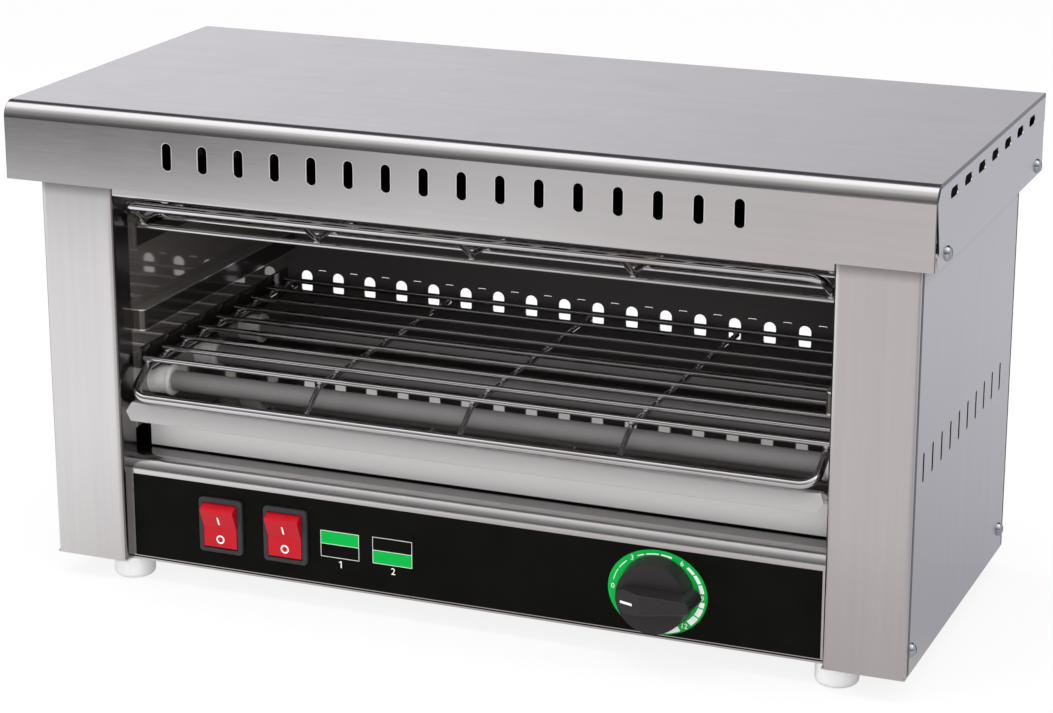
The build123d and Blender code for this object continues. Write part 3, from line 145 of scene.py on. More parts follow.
def egg(centre, half, around=10, up=6):
    """A stretched ball: x = a cos u cos v, y = b cos u sin v, z = c sin u, with u from pole to pole."""
    u = np.linspace(-math.pi / 2, math.pi / 2, up + 1)[:, None]
    v = np.linspace(0, 2 * math.pi, around + 1)[None, :]
    ball = np.stack([np.cos(u) * np.cos(v), np.cos(u) * np.sin(v), np.sin(u) + 0 * v], -1)
    return (ball * half + centre).reshape(-1, 3), grid_quads(up + 1, around + 1)


print("a weld bead has", len(egg((0, 0, 0), (1, 1, 1))[1]), "faces")

# %% [markdown]
# One object may hold many shapes, as one node holds many screws. The arrays are joined, points that
# fall together are merged and the faces are turned outwards. Then the object is told which body it
# moves with, so that it follows a switch or a drawer.

# %% From arrays to an object that rides on a body
MERGE_DISTANCE, SLIVER = 1e-7, 1e-8


def piece(name, shapes, body, smooth=True):
    """One object from several (points in millimetres, faces) shapes: doubles merged, carried by `body`."""
    points, faces, first = [], [], 0
    for shape_points, shape_faces in shapes:
        points.append(np.asarray(shape_points, float))
        faces += [[int(k) + first for k in face] for face in shape_faces]
        first += len(shape_points)
    mesh = bpy.data.meshes.new(name)
    mesh.from_pydata((np.concatenate(points) * MM).tolist(), [], faces)
    made = bpy.data.objects.new(name, mesh)
    bpy.context.scene.collection.objects.link(made)
    work = bmesh.new()
    work.from_mesh(mesh)
    bmesh.ops.remove_doubles(work, verts=work.verts, dist=MERGE_DISTANCE)
    bmesh.ops.dissolve_degenerate(work, edges=work.edges, dist=SLIVER)
    bmesh.ops.recalc_face_normals(work, faces=work.faces)
    work.to_mesh(mesh)
    work.free()
    mesh.polygons.foreach_set("use_smooth", np.full(len(mesh.polygons), smooth))
    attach(made, body)
    print(name, len(mesh.polygons), "faces")
    return made


def middle_of(node):
    """The middle of a node's box at rest, in millimetres: half the sum of its two corners."""
    low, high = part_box(node)
    return (np.array(low) + np.array(high)) / (2 * MM)


print("timer at", middle_of("timer_body").round(2))

# %% [markdown]
# The fascia is a black film with a few printed marks: the timer's green scale, two boxes that show
# which heater a switch works, and their digits. The film's material could paint them, but edges that
# sharp take many nodes and stay soft in a bake. Ink has almost no thickness, so each mark is a plate
# of a few hundredths of a millimetre on the film. White is printed over green.

# %% Places on the fascia, in millimetres
FILM_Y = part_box("fascia_overlay")[0].y / MM
DIAL_X, _, DIAL_Z = middle_of("timer_body")
INK = np.array([0, 0.05, 0])
GREEN_LIFT, WHITE_LIFT = 0.05, 0.1
SCALE_WIDE, SCALE_TALL = 26.1, 22.2
SCALE_INNER, NUMBER_RING = 0.6, 0.9


def on_film(x, z, lift):
    """Points on the film: x to the right, z up, and `lift` millimetres in front of it."""
    return np.stack(np.broadcast_arrays(x, FILM_Y - lift, z), -1)


def dial_band(start, stop, inner, outer, lift, steps):
    """Part of an oval ring round the dial: x = a r cos t, z = b r sin t, t from start to stop in
    degrees. The inner and outer share r of the oval run evenly along it."""
    t = np.radians(np.linspace(start, stop, steps))[None, :]
    run = np.linspace(0, 1, steps)
    share = np.linspace(np.interp(run, [0, 1], inner), np.interp(run, [0, 1], outer), 3)
    return on_film(DIAL_X + SCALE_WIDE * share * np.cos(t), DIAL_Z + SCALE_TALL * share * np.sin(t), lift)


def film_box(x0, x1, z0, z1, lift):
    """A plain rectangle on the film."""
    x, z = np.meshgrid([x0, x1], [z0, z1])
    return on_film(x, z, lift)


def film_frame(x0, x1, z0, z1, line, lift):
    """A thin rectangular outline: an outer loop of corners and an inner one, `line` further in."""
    outer = np.array([[x0, z0], [x1, z0], [x1, z1], [x0, z1]])
    inner = outer + line * np.array([[1, 1], [-1, 1], [-1, -1], [1, -1]])
    loops = np.stack([outer, inner])
    return on_film(loops[..., 0], loops[..., 1], lift)


print("film at", round(FILM_Y, 2), "dial at", round(DIAL_X, 2), round(DIAL_Z, 2))

# %% Digits as a mesh
DIGIT_CURVE = 6


def number(text, size, x, z, lift):
    """Digits as a mesh: the built-in letter shapes given thickness, stood up on the film at x, z."""
    curve = bpy.data.curves.new("digits", "FONT")
    curve.body = text
    curve.size = size
    curve.align_x = "CENTER"
    curve.align_y = "CENTER"
    curve.extrude = INK[1] / 2
    curve.resolution_u = DIGIT_CURVE
    holder = bpy.data.objects.new("digits", curve)
    bpy.context.scene.collection.objects.link(holder)
    bpy.context.view_layer.update()
    shape = bpy.data.meshes.new_from_object(holder)
    flat = np.zeros(len(shape.vertices) * 3)
    shape.vertices.foreach_get("co", flat)
    flat = flat.reshape(-1, 3)
    faces = [tuple(polygon.vertices) for polygon in shape.polygons]
    bpy.data.objects.remove(holder)
    bpy.data.curves.remove(curve)
    bpy.data.meshes.remove(shape)
    return np.stack([x + flat[:, 0], FILM_Y - lift - flat[:, 2], z + flat[:, 1]], -1), faces


print("digits are", INK[1], "mm thick")

# %% Print the timer's green scale
SCALE_START, SCALE_STEPS = -172, 181
green_inner, green_outer = (SCALE_INNER, SCALE_INNER), (1.0, 1.0)
scale_band = dial_band(SCALE_START, SCALE_START + 360, green_inner, green_outer, GREEN_LIFT, SCALE_STEPS)
piece("timer_scale", [slab(scale_band[:, :-1], INK, ring=True)], "cabinet", smooth=False)

# %% [markdown]
# White numbers stand round the scale, with dashes between them that grow wider towards the long
# times. Straight bars would stick out of the green. Each dash is a short stretch of the same oval
# ring, so it bends with the scale, and its width is read off along the angle.

# %% Print its numbers and dashes
DIAL_NUMBERS = {"0": 180, "3": 125, "6": 57.5, "9": 0, "12": -53, "15": -112}
NUMBER_SIZE = 3.8
DASHES = [
    (170, 152), (149, 134), (117, 108), (105, 89), (86, 72), (49, 37), (35, 22),
    (20, 7), (-6, -14), (-16, -29), (-31, -45), (-61, -80), (-84, -101),
]
DASH_STEPS = 14
DASH_AT = [-101, -40, 20, 95, 170]
DASH_HALF = np.array([2.0, 1.65, 1.0, 0.35, 0.14]) / SCALE_WIDE
dial_marks = []
for start, stop in DASHES:
    half = np.interp([start, stop], DASH_AT, DASH_HALF)
    dash = dial_band(start, stop, NUMBER_RING - half, NUMBER_RING + half, WHITE_LIFT, DASH_STEPS)
    dial_marks.append(slab(dash, INK))
for text, degrees in DIAL_NUMBERS.items():
    turn = math.radians(degrees)
    number_x = DIAL_X + NUMBER_RING * SCALE_WIDE * math.cos(turn)
    number_z = DIAL_Z + NUMBER_RING * SCALE_TALL * math.sin(turn)
    dial_marks.append(number(text, NUMBER_SIZE, number_x, number_z, WHITE_LIFT))
piece("timer_scale_marks", dial_marks, "cabinet", smooth=False)

# %% [markdown]
# Beside the switches two small boxes show the toaster from the front: the green half is the row of
# heaters that the switch works. They are thin frames with a bar across, and a digit stands under each.
# The built-in 1 looks unlike the printed one, so that digit is a plain stem with a slanted flag.

# %% Print the two heater boxes and their digits
HEATER_BOXES = {"1": (-79.7, -57.9, 29.3, 43.7, True), "2": (-50.2, -28.0, 29.6, 44.0, False)}
LINE = 0.22
DIGIT_SIZE, DIGIT_SHIFT, DIGIT_DROP = 5.2, 0.4, 3.3
STEM_LEFT, STEM_RIGHT, STEM_HALF = -0.1, 0.45, 1.9
FLAG_X = np.array([[-1.0, STEM_LEFT], [-1.0, STEM_LEFT]])
FLAG_Z = np.array([[0.75, 1.25], [1.25, STEM_HALF]])
green, white = [], []
for text, (x0, x1, z0, z1, upper) in HEATER_BOXES.items():
    middle = (z0 + z1) / 2
    left, right = x0 + LINE, x1 - LINE
    white.append(slab(film_frame(x0, x1, z0, z1, LINE, WHITE_LIFT), INK, ring=True))
    low, high = (middle, z1) if upper else (z0, middle)
    green.append(slab(film_box(left, right, low + LINE / 2, high - LINE / 2, GREEN_LIFT), INK))
    white.append(slab(film_box(left, right, middle - LINE / 2, middle + LINE / 2, WHITE_LIFT), INK))
    x, z = (x0 + x1) / 2 + DIGIT_SHIFT, z0 - DIGIT_DROP
    if text == "1":
        stem = film_box(x + STEM_LEFT, x + STEM_RIGHT, z - STEM_HALF, z + STEM_HALF, WHITE_LIFT)
        white.append(slab(stem, INK))
        white.append(slab(on_film(x + FLAG_X, z + FLAG_Z, WHITE_LIFT), INK))
    else:
        white.append(number(text, DIGIT_SIZE, x, z, WHITE_LIFT))
piece("heater_boxes", green, "cabinet", smooth=False)
piece("heater_box_lines", white, "cabinet", smooth=False)

# %% [markdown]
# The rockers carry a moulded stroke and ring. A rocker's face is a shallow V about its pivot, so the
# marks are laid on the two slopes by a formula and not pressed on from the front. They ride on the
# rockers, and tip with them.

# %% Mark the rockers
TILT = math.radians(12)
PIVOT_BEHIND_FILM, VALLEY = 0.7, 3.0
MARK_LIFT, MARK_THICK = 0.04, 0.08
STROKE_HALF, STROKE_FROM, STROKE_TO = 0.45, 2.1, 7.2
RING_AT, RING_OUTER, RING_INNER = 6.6, 2.35, 1.5
OUT = np.array([0, -math.cos(TILT), -math.sin(TILT)])
UP = np.array([0, -math.sin(TILT), math.cos(TILT)])


def on_rocker(across, along, half):
    """Points on a rocker's face. The face is a shallow V: `along` runs from its valley to a tip,
    so depth = valley + along sin(tilt) outwards and height = along cos(tilt), up or down by `half`."""
    depth = VALLEY + along * math.sin(TILT) + MARK_LIFT
    height = half * along * math.cos(TILT)
    return depth[..., None] * OUT + height[..., None] * UP + across[..., None] * np.array([1.0, 0, 0])


pivot_z = middle_of("switch_1_housing")[2]
for body, node in (("rocker_1", "switch_1_rocker"), ("rocker_2", "switch_2_rocker")):
    pivot = np.array([middle_of(node)[0], FILM_Y + PIVOT_BEHIND_FILM, pivot_z])
    across, along = np.meshgrid([-STROKE_HALF, STROKE_HALF], np.linspace(STROKE_FROM, STROKE_TO, 3))
    stroke = slab(on_rocker(across, along, 1) + pivot, -MARK_THICK * OUT)
    t = np.linspace(0, 2 * math.pi, 33)[:-1]
    radius = np.array([[RING_OUTER], [RING_INNER]])
    ring_face = on_rocker(radius * np.cos(t), RING_AT + radius * np.sin(t), -1)
    ring = slab(ring_face + pivot, -MARK_THICK * OUT, ring=True)
    piece(body + "_marks", [stroke, ring], body, smooth=False)

# %% [markdown]
# The knob has a painted line near the end of its grip that points to the scale. The grip slopes down
# to that end, so the line follows the slope. It turns with the knob, because it rides on it.

# %% Paint the knob's line
GRIP = math.radians(4)
KNOB_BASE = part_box("timer_knob")[1].y / MM
KNOB_TALL, SLOPE_LOW, SLOPE_START, SLOPE_END = 20.0, 12.0, 2.0, 19.0
PAINT_LIFT, PAINT_THICK = 0.05, 0.08
PAINT_ACROSS, PAINT_ALONG = (-1.2, 0.1), (-14.4, -6.9)
slope = (KNOB_TALL - SLOPE_LOW) / (SLOPE_END - SLOPE_START)
across, along = np.meshgrid(np.linspace(*PAINT_ACROSS, 3), np.linspace(*PAINT_ALONG, 5))
height = KNOB_TALL + slope * (along + SLOPE_START) + PAINT_LIFT
painted = np.stack([
    DIAL_X + along * math.cos(GRIP) - across * math.sin(GRIP),
    KNOB_BASE - height,
    DIAL_Z + along * math.sin(GRIP) + across * math.cos(GRIP),
], -1)
paint = slab(painted, np.array([0, PAINT_THICK, 0]))
piece("timer_knob_line", [paint], "timer_dial", smooth=False)

# %% [markdown]
# The rack and the guard are welded from wire. At each crossing the two wires have sunk into each
# other and left a small flattened bead. A boolean union with a bevel could round these joints, but
# it would change the wires. A stretched ball at each crossing is enough, and without it the wires
# only seem to hover past each other.

# %% Weld beads where the wires cross
BARS, BAR_RADIUS, BAR_OVERHANG, CROSS_STEP = 9, 1.5, 2.0, 85.2
CROSS_BEAD, RIM_BEAD = (1.75, 1.75, 0.95), (2.2, 1.7, 1.1)
bars_low, bars_high = (np.array(corner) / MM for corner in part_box("rack_bars"))
bar_y = np.linspace(bars_low[1] + BAR_RADIUS, bars_high[1] - BAR_RADIUS, BARS)
cross_x = CROSS_STEP * np.arange(-1, 2)
rim_x = (bars_high[0] - BAR_OVERHANG) * np.array([-1, 1])
rack_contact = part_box("rack_rim")[1].z / MM
guard_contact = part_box("guard_rim")[0].z / MM
for name, body, z in (("rack_welds", "grill_rack", rack_contact), ("guard_welds", "cabinet", guard_contact)):
    beads = [egg((x, y, z), CROSS_BEAD) for x in cross_x for y in bar_y]
    beads += [egg((x, y, z), RIM_BEAD) for x in rim_x for y in bar_y]
    piece(name, beads, body)

# %% [markdown]
# Punched slots are not knife-sharp: the punch draws a little of the sheet's skin in and leaves a
# rounded, shiny edge. A bevel on the sheet would do it, but the packed sheet stays as it is. A thin
# bead just inside each slot gives that line of light.

# %% Drawn edges in the hood's slots
SLOT_HALF_WIDTH, SLOT_STRAIGHT = 3.0, 4.5
EDGE, EDGE_INSET, EDGE_SINK = 0.4, 0.15, 0.03
FRONT_SLOTS, FRONT_SLOT_STEP, FRONT_SLOT_DROP = 16, 20.0, 20.8
SIDE_SLOTS, SIDE_SLOT_FIRST, SIDE_SLOT_LAST, SIDE_SLOT_DROP = 7, 17.7, 22.7, 9.0
BODY_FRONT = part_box("left_front_post")[0].y / MM
BODY_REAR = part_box("rear_panel")[1].y / MM
HOOD_FRONT, HOOD_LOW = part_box("hood")[0].yz / MM
HOOD_SIDE, HOOD_REAR, HOOD_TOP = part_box("hood")[1] / MM
# A slight turn keeps sin t off zero, where its sign would leave a point between the two round ends.
SLIGHT_TURN = 0.01
t = np.linspace(0, 2 * math.pi, 37)[:-1] + SLIGHT_TURN
round_x, round_z, flat = np.cos(t), np.sin(t), np.zeros_like(t)
wide = (SLOT_HALF_WIDTH - EDGE_INSET) * round_x
tall = (SLOT_HALF_WIDTH - EDGE_INSET) * round_z + SLOT_STRAIGHT * np.sign(round_z)
edges = []
for x in FRONT_SLOT_STEP * (np.arange(FRONT_SLOTS) - (FRONT_SLOTS - 1) / 2):
    path = np.stack([x + wide, flat + HOOD_FRONT + EDGE + EDGE_SINK, HOOD_TOP - FRONT_SLOT_DROP + tall], -1)
    edges.append(loop(path, np.stack([round_x, flat, round_z], -1), np.array([0, 1.0, 0]), EDGE))
for side in (-1, 1):
    for y in np.linspace(BODY_FRONT + SIDE_SLOT_FIRST, BODY_REAR - SIDE_SLOT_LAST, SIDE_SLOTS):
        x = flat + side * (HOOD_SIDE - EDGE - EDGE_SINK)
        path = np.stack([x, y + tall, HOOD_TOP - SIDE_SLOT_DROP + wide], -1)
        edges.append(loop(path, np.stack([flat, round_z, round_x], -1), np.array([1.0, 0, 0]), EDGE))
piece("hood_slot_edges", edges, "cabinet")

# %% [markdown]
# The tray's lip has a hem along its lower edge, so that no fingers are cut: a thin round wire shows
# it. At the rear two small tabs close the hood's corners beside the cabinet, and they are plates in
# the hood's finish, so their inner faces carry its painted shade.

# %% The lip's hem and the hood's corner tabs
HEM_HALF, HEM_SETBACK, HEM_DROP, HEM_RADIUS, HEM_POINTS = 184.5, 2.8, 8.3, 0.75, 24
TAB_THICK, TAB_SINK, TAB_RISE, TAB_TOP_DROP = 0.8, 0.1, 1.0, 14.0
hem_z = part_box("tray_front_lip")[1].z / MM - HEM_DROP
hem_x = np.linspace(-HEM_HALF, HEM_HALF, HEM_POINTS)
hem_path = np.stack(np.broadcast_arrays(hem_x, BODY_FRONT + HEM_SETBACK, hem_z), -1)
piece("tray_lip_hem", [tube(hem_path, HEM_RADIUS, 12)], "crumb_drawer")

BODY_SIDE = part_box("right_side_panel")[1].x / MM
TAB_X = np.array([BODY_SIDE + 0.6, BODY_SIDE + 4.5, HOOD_SIDE - 1.1])
tabs = []
for side in (-1, 1):
    x, z = np.meshgrid(side * TAB_X, np.linspace(HOOD_LOW + TAB_RISE, HOOD_TOP - TAB_TOP_DROP, 5))
    tab = np.stack([x, np.full_like(x, HOOD_REAR - TAB_SINK), z], -1)
    tabs.append(slab(tab, np.array([0, -TAB_THICK, 0])))
piece("hood_corner_tabs", tabs, "cabinet", smooth=False)

# %% [markdown]
# Between the rear panel's slots are short slits. Cutting them leaves a narrow lip of metal standing
# in each slit, so that only a thin line of light comes through. A small plate in each stands for it.

# %% Drawn lips in the rear slits
SLIT_STEP, SLIT_COUNT, SLIT_Z = 20.0, 18, 122.9
LIP_HALF, LIP_LOW, LIP_HIGH = 2.2, -0.56, 0.14
LIP_SINK, LIP_THICK = 0.75, 0.5
lip_x = np.linspace(-LIP_HALF, LIP_HALF, 4)
lip_z = SLIT_Z + np.linspace(LIP_LOW, LIP_HIGH, 3)
lips = []
for x in SLIT_STEP * (np.arange(SLIT_COUNT) - (SLIT_COUNT - 1) / 2):
    across, up = np.meshgrid(x + lip_x, lip_z)
    lip = np.stack([across, np.full_like(across, BODY_REAR - LIP_SINK), up], -1)
    lips.append(slab(lip, np.array([0, LIP_THICK, 0])))
piece("rear_slit_lips", lips, "cabinet", smooth=False)

# %% [markdown]
# A quartz heater is a tube with a long coil of resistance wire inside. The packed model has a plain
# rod in that space, which is enough for weight and fit. A screw modifier could wind a wire, but a
# helix is one formula, so a thin round wire follows it here inside the rod's outer size. A straight
# pin through each ceramic cap closes it.

# %% Wind the heater coils
COIL_HALF, COIL_RADIUS, COIL_PITCH, COIL_WIRE, COIL_TAPER = 172.0, 2.75, 5.2, 0.45, 3
PIN_RADIUS, PIN_OVERLAP = 1.0, 1
PIN_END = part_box("heater_windings")[1].x / MM
turns = 2 * COIL_HALF / COIL_PITCH
angle = np.linspace(0, 2 * math.pi * turns, int(turns * 12) + 1)
coil_x = np.linspace(-COIL_HALF, COIL_HALF, len(angle))
swell = COIL_RADIUS * np.clip((COIL_HALF - np.abs(coil_x)) / COIL_TAPER, 0, 1)
coils = []
for y in [middle_of(f"lower_{place}_tube")[1] for place in ("front", "middle", "rear")]:
    for z in [middle_of(f"{row}_front_tube")[2] for row in ("lower", "upper")]:
        helix = np.stack([coil_x, y + swell * np.cos(angle), z + swell * np.sin(angle)], -1)
        coils.append(tube(helix, COIL_WIRE, 6))
        for side in (-1, 1):
            pin_x = np.linspace(side * (COIL_HALF - PIN_OVERLAP), side * PIN_END, 4)
            coils.append(tube(np.stack(np.broadcast_arrays(pin_x, y, z), -1), PIN_RADIUS, 10))
windings = piece("wound_heater_wire", coils, "cabinet")
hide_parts("heater_windings")

# %% [markdown]
# Finishes are worked out with shader nodes. They could be joined by a long list of links, but sums
# written as ordinary Python are easier to read. So a small class wraps a socket and adds a Math node
# for each operator.

# %% A number that varies over a surface


class Value:
    """A number that varies over the surface. Sums and products of it add Math nodes."""

    def __init__(self, bench, socket):
        self.bench, self.socket = bench, socket

    def math(self, operation, *terms):
        """A Math node on one or two terms."""
        return self.bench.node("ShaderNodeMath", {"operation": operation}, dict(enumerate(terms)))

    def __add__(self, other):
        return self.math("ADD", self, other)

    def __radd__(self, other):
        return self.math("ADD", other, self)

    def __sub__(self, other):
        return self.math("SUBTRACT", self, other)

    def __rsub__(self, other):
        return self.math("SUBTRACT", other, self)

    def __mul__(self, other):
        return self.math("MULTIPLY", self, other)

    def __rmul__(self, other):
        return self.math("MULTIPLY", other, self)

    def __abs__(self):
        return self.math("ABSOLUTE", self)

    def root(self):
        """The square root."""
        return self.math("SQRT", self)

    def larger(self, other):
        """The larger of two numbers."""
        return self.math("MAXIMUM", self, other)


print("operators that work from both sides:", [name for name in vars(Value) if name.startswith("__r")])

# %% [markdown]
# Every finish needs the same few things: the place on the piece, noise stretched along a grain, smooth
# steps between two heights, mixed colours and a relief. One method makes any node from its type, its
# settings and its sockets, and short methods on top of it name these uses.

# %% A bench for finishes


class Bench:
    """A material under construction, with its nodes."""

    def __init__(self, name, holder=None):
        self.material = holder or bpy.data.materials.new(name)
        self.material.use_nodes = True
        self.tree = self.material.node_tree
        self.tree.nodes.clear()
        self.place = self.node("ShaderNodeTexCoord", out="Object")

    def node(self, kind, settings=None, sockets=None, out=0):
        """A node of a type: settings first, then the values or links of its sockets, then one output."""
        made = self.tree.nodes.new(kind)
        for key, setting in (settings or {}).items():
            setattr(made, key, setting)
        for key, value in (sockets or {}).items():
            socket = made.inputs[key]
            if isinstance(value, Value):
                self.tree.links.new(value.socket, socket)
            else:
                socket.default_value = (*value, 1) if socket.type == "RGBA" else value
        return None if out is None else Value(self, made.outputs[out])

    def stretched(self, scale):
        """The place on the piece, stretched by a scale for each axis."""
        return self.node("ShaderNodeMapping", {}, {"Vector": self.place, "Scale": scale})

    def noise(self, scale, detail=2.0, rough=0.5, stretch=(1, 1, 1)):
        """A cloudy number from 0 to 1, with features about 1 / scale metres across."""
        where = self.stretched(tuple(s * scale for s in stretch))
        sockets = {"Vector": where, "Scale": 1.0, "Detail": detail, "Roughness": rough}
        return self.node("ShaderNodeTexNoise", {}, sockets)

    def ramp(self, value, low, high, start=0.0, end=1.0):
        """A number that climbs smoothly from start to end as the value goes from low to high."""
        sockets = {"Value": value, "From Min": low, "From Max": high, "To Min": start, "To Max": end}
        return self.node("ShaderNodeMapRange", {"interpolation_type": "SMOOTHSTEP"}, sockets)

    def axis(self, name):
        """One coordinate of the place on the piece, in metres."""
        return self.node("ShaderNodeSeparateXYZ", {}, {"Vector": self.place}, out=name)

    def mix(self, share, one, other):
        """A colour between two others."""
        return self.node("ShaderNodeMix", {"data_type": "RGBA"}, {0: share, 6: one, 7: other}, out=2)

    def scaled(self, colour, level):
        """A colour made lighter or darker by a number."""
        return self.node("ShaderNodeVectorMath", {"operation": "SCALE"}, {0: colour, "Scale": level})

    def bump(self, height, strength, distance):
        """A relief: height from 0 to 1 stands for `distance` metres."""
        sockets = {"Height": height, "Strength": strength, "Distance": distance}
        return self.node("ShaderNodeBump", {}, sockets, out="Normal")

    def finish(self, **sockets):
        """Closes the material with one surface shader. Constants go straight to its sockets."""
        named = {key.replace("_", " "): value for key, value in sockets.items()}
        self.close(self.node("ShaderNodeBsdfPrincipled", {}, named, out="BSDF"))
        print("finish", self.material.name, len(self.tree.nodes), "nodes")
        return self.material

    def close(self, shader, kind="ShaderNodeOutputMaterial"):
        """Joins a shader to the output."""
        self.node(kind, {}, {"Surface": shader}, out=None)


def wear(obj, material):
    """Gives an object one material, in the slots it has or in a new one."""
    if not obj.material_slots:
        obj.data.materials.append(material)
    for slot in obj.material_slots:
        slot.material = material


print("nodes to dress", len(nodes))

# %% [markdown]
# Brushed stainless: the sheet was ground along one direction, so everything varies fast across the
# grain and slowly along it. An anisotropic shader could stretch the highlights, but the grain itself
# would not show up close. Here fine lines change roughness and relief, wide streaks change the tone
# a little, and cloudy patches keep reflections from being even.

# %% Brushed stainless sheet
GRAIN = {"X": (0.02, 1, 1), "Y": (1, 0.02, 1), "Z": (1, 1, 0.02)}
LINES_PER_METRE, STREAKS_PER_METRE, CLOUDS_PER_METRE, SMUDGES_PER_METRE = 2600, 260, 16, 28
STEEL, DEEP_SHADE = (0.56, 0.545, 0.55), (0.02, 0.018, 0.017)


def brushed(name, grain, tone=STEEL, rough=0.19, shade=None, shade_tone=DEEP_SHADE, dull=0):
    """Brushed sheet; `shade` gives the share of another tone, mostly painted shade where a face looks into
    the cabinet and once a lighter painted sheen, and `dull` how far that share has lost its metal shine."""
    bench = Bench(name)
    lines = bench.noise(LINES_PER_METRE, 3, 0.6, GRAIN[grain])
    streaks = bench.noise(STREAKS_PER_METRE, 2, 0.5, GRAIN[grain])
    clouds = bench.noise(CLOUDS_PER_METRE, 3, 0.55)
    dark = tuple(0.90 * c for c in tone)
    light = tuple(min(1, 1.06 * c) for c in tone)
    colour = bench.mix(0.55 * streaks + 0.45 * lines, dark, light)
    metal = 1.0
    roughness = rough - 0.09 + 0.12 * lines + 0.04 * clouds
    if shade:
        share = shade(bench)
        colour = bench.mix(share, colour, shade_tone)
    if dull:
        metal = 1 - dull * share
        roughness = roughness + 0.5 * share
    else:
        smudge = bench.ramp(bench.noise(SMUDGES_PER_METRE, 5, 0.6), 0.45, 0.85)
        roughness = roughness + 0.03 * smudge
    relief = bench.bump(lines, 0.05, 0.00004)
    return bench.finish(Base_Color=colour, Metallic=metal, Roughness=roughness, Normal=relief)


steel_along = brushed("steel_grain_along", "X")
steel_deep = brushed("steel_grain_deep", "Y")

# %% [markdown]
# The folded hood is bright outside, and dark inside where hardly any light gets in. Faces could be
# picked one by one, but a packed mesh has a great many triangles. The place on the piece tells inside
# from outside, so the mask is a product of smooth steps along the axes, set from the hood's own box.

# %% The hood's inside
ROLL, ROLL_INSIDE, ROLL_EDGE = 0.008, (0.0072, 0.0074), (0.0056, 0.0060)
FRONT_STEP, REAR_STEP = (-0.0009, -0.00098), (0.0009, 0.0007)
INNER_STEP, CUT_STEP = (0.0012, 0.00105), (0.00025, 0.0001)


def inset(edge, step):
    """The two places of a step near an edge, in metres: the edge less each of the two distances."""
    return [edge - distance for distance in step]


def under_hood(bench):
    """Painted shade inside the folded hood: behind its front sheet, under its top, between its sides and
    within the rolled front, where the distance to the roll's axis is less than the sheet's inner radius.
    The cut edge of the roll at each side gets painted shade too, along the seam where it meets the side."""
    front, rear, side, top = (place * MM for place in (HOOD_FRONT, HOOD_REAR, HOOD_SIDE, HOOD_TOP))
    y, z = bench.axis("Y"), bench.axis("Z")
    across = abs(bench.axis("X"))
    forward = (front + ROLL - y).larger(0.0)
    upward = (z - (top - ROLL)).larger(0.0)
    roll = (forward * forward + upward * upward).root()
    depth = bench.ramp(y, *inset(front, FRONT_STEP)) * bench.ramp(y, *inset(rear, REAR_STEP), 1, 0)
    height = bench.ramp(z, *inset(top, INNER_STEP), 1, 0)
    width = bench.ramp(across, *inset(side, INNER_STEP), 1, 0)
    within = depth * (height * width) * bench.ramp(roll, *ROLL_INSIDE, 1, 0)
    roll_seam_shade = 0.92 * bench.ramp(across, *inset(side, CUT_STEP)) * bench.ramp(roll, *ROLL_EDGE)
    return within.larger(roll_seam_shade)


hood_sheet = brushed("hood_sheet", "X", shade=under_hood)

# %% [markdown]
# Rail and posts run in and out of the light too. The rail is dark where it stands behind the hood's
# slots, and each post turns a flange back into the chamber. Two finishes on one sheet would need a
# seam that is not there, so a mask with smooth steps does it again.

# %% Rail and posts beside the opening
RAIL_SHADE, POST_SHADE = (0.222, 0.226), (0.2085, 0.2165)
OPENING_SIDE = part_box("right_front_post")[0].x


def above_opening(bench):
    """The part of the front rail that stands behind the hood's slots."""
    return bench.ramp(bench.axis("Z"), *RAIL_SHADE)


def post_return(bench):
    """The flange of a post that turns back into the chamber, and its top in the hood's shade."""
    front = BODY_FRONT * MM
    inward = bench.ramp(abs(bench.axis("X")), OPENING_SIDE + 0.0009, OPENING_SIDE + 0.0011, 1, 0)
    flange = 0.7 * inward * bench.ramp(bench.axis("Y"), front + 0.0006, front + 0.0009)
    return flange.larger(0.6 * bench.ramp(bench.axis("Z"), *POST_SHADE))


rail_sheet = brushed("rail_sheet", "X", shade=above_opening)
post_sheet = brushed("post_sheet", "Z", shade=post_return, shade_tone=(0.06, 0.055, 0.052))

# %% [markdown]
# Other sheets carry painted light too. A side panel gets painted shade in the fold beside its post and
# under the hood, the tray's front is rougher with a lighter painted sheen, and the ledge below it gets
# painted shade. Each of these follows a height or a depth, so one or two steps are enough.

# %% Side panels, tray front and control panel
SIDE_SHADE, SIDE_DEEP_SHADE = (0.203, 0.219), (0.226, 0.232)
LIP_FOLD = (0.0905, 0.0912)
SIDE_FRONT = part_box("right_side_panel")[0].y
PANEL_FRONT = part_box("control_panel")[0].y


def side_painted_shade(bench):
    """Painted shade in the rounded front fold of a side panel beside its post, and on its top in the hood's
    shade.
    """
    z = bench.axis("Z")
    seam = 0.85 * bench.ramp(bench.axis("Y"), SIDE_FRONT + 0.0022, SIDE_FRONT + 0.0030, 1, 0)
    return seam.larger(0.55 * bench.ramp(z, *SIDE_SHADE) + 0.43 * bench.ramp(z, *SIDE_DEEP_SHADE))


def lip_painted_sheen(bench):
    """The tray's front, made rougher and lighter in tone as a painted sheen: all below the fold, less above
    it.
    """
    return bench.ramp(bench.axis("Z"), *LIP_FOLD, 1, 0.45)


def ledge_painted_shade(bench):
    """The level part of the control panel behind its rolled edge, darkened with painted shade."""
    return 0.65 * bench.ramp(bench.axis("Y"), PANEL_FRONT + 0.006, PANEL_FRONT + 0.008)


side_sheet = brushed("side_sheet", "Z", shade=side_painted_shade, shade_tone=(0.03, 0.028, 0.03), dull=0.9)
lip_sheet = brushed("lip_sheet", "X", shade=lip_painted_sheen, shade_tone=(0.86, 0.845, 0.845), dull=0.45)
panel_sheet = brushed("panel_sheet", "X", shade=ledge_painted_shade, shade_tone=(0.10, 0.095, 0.09))
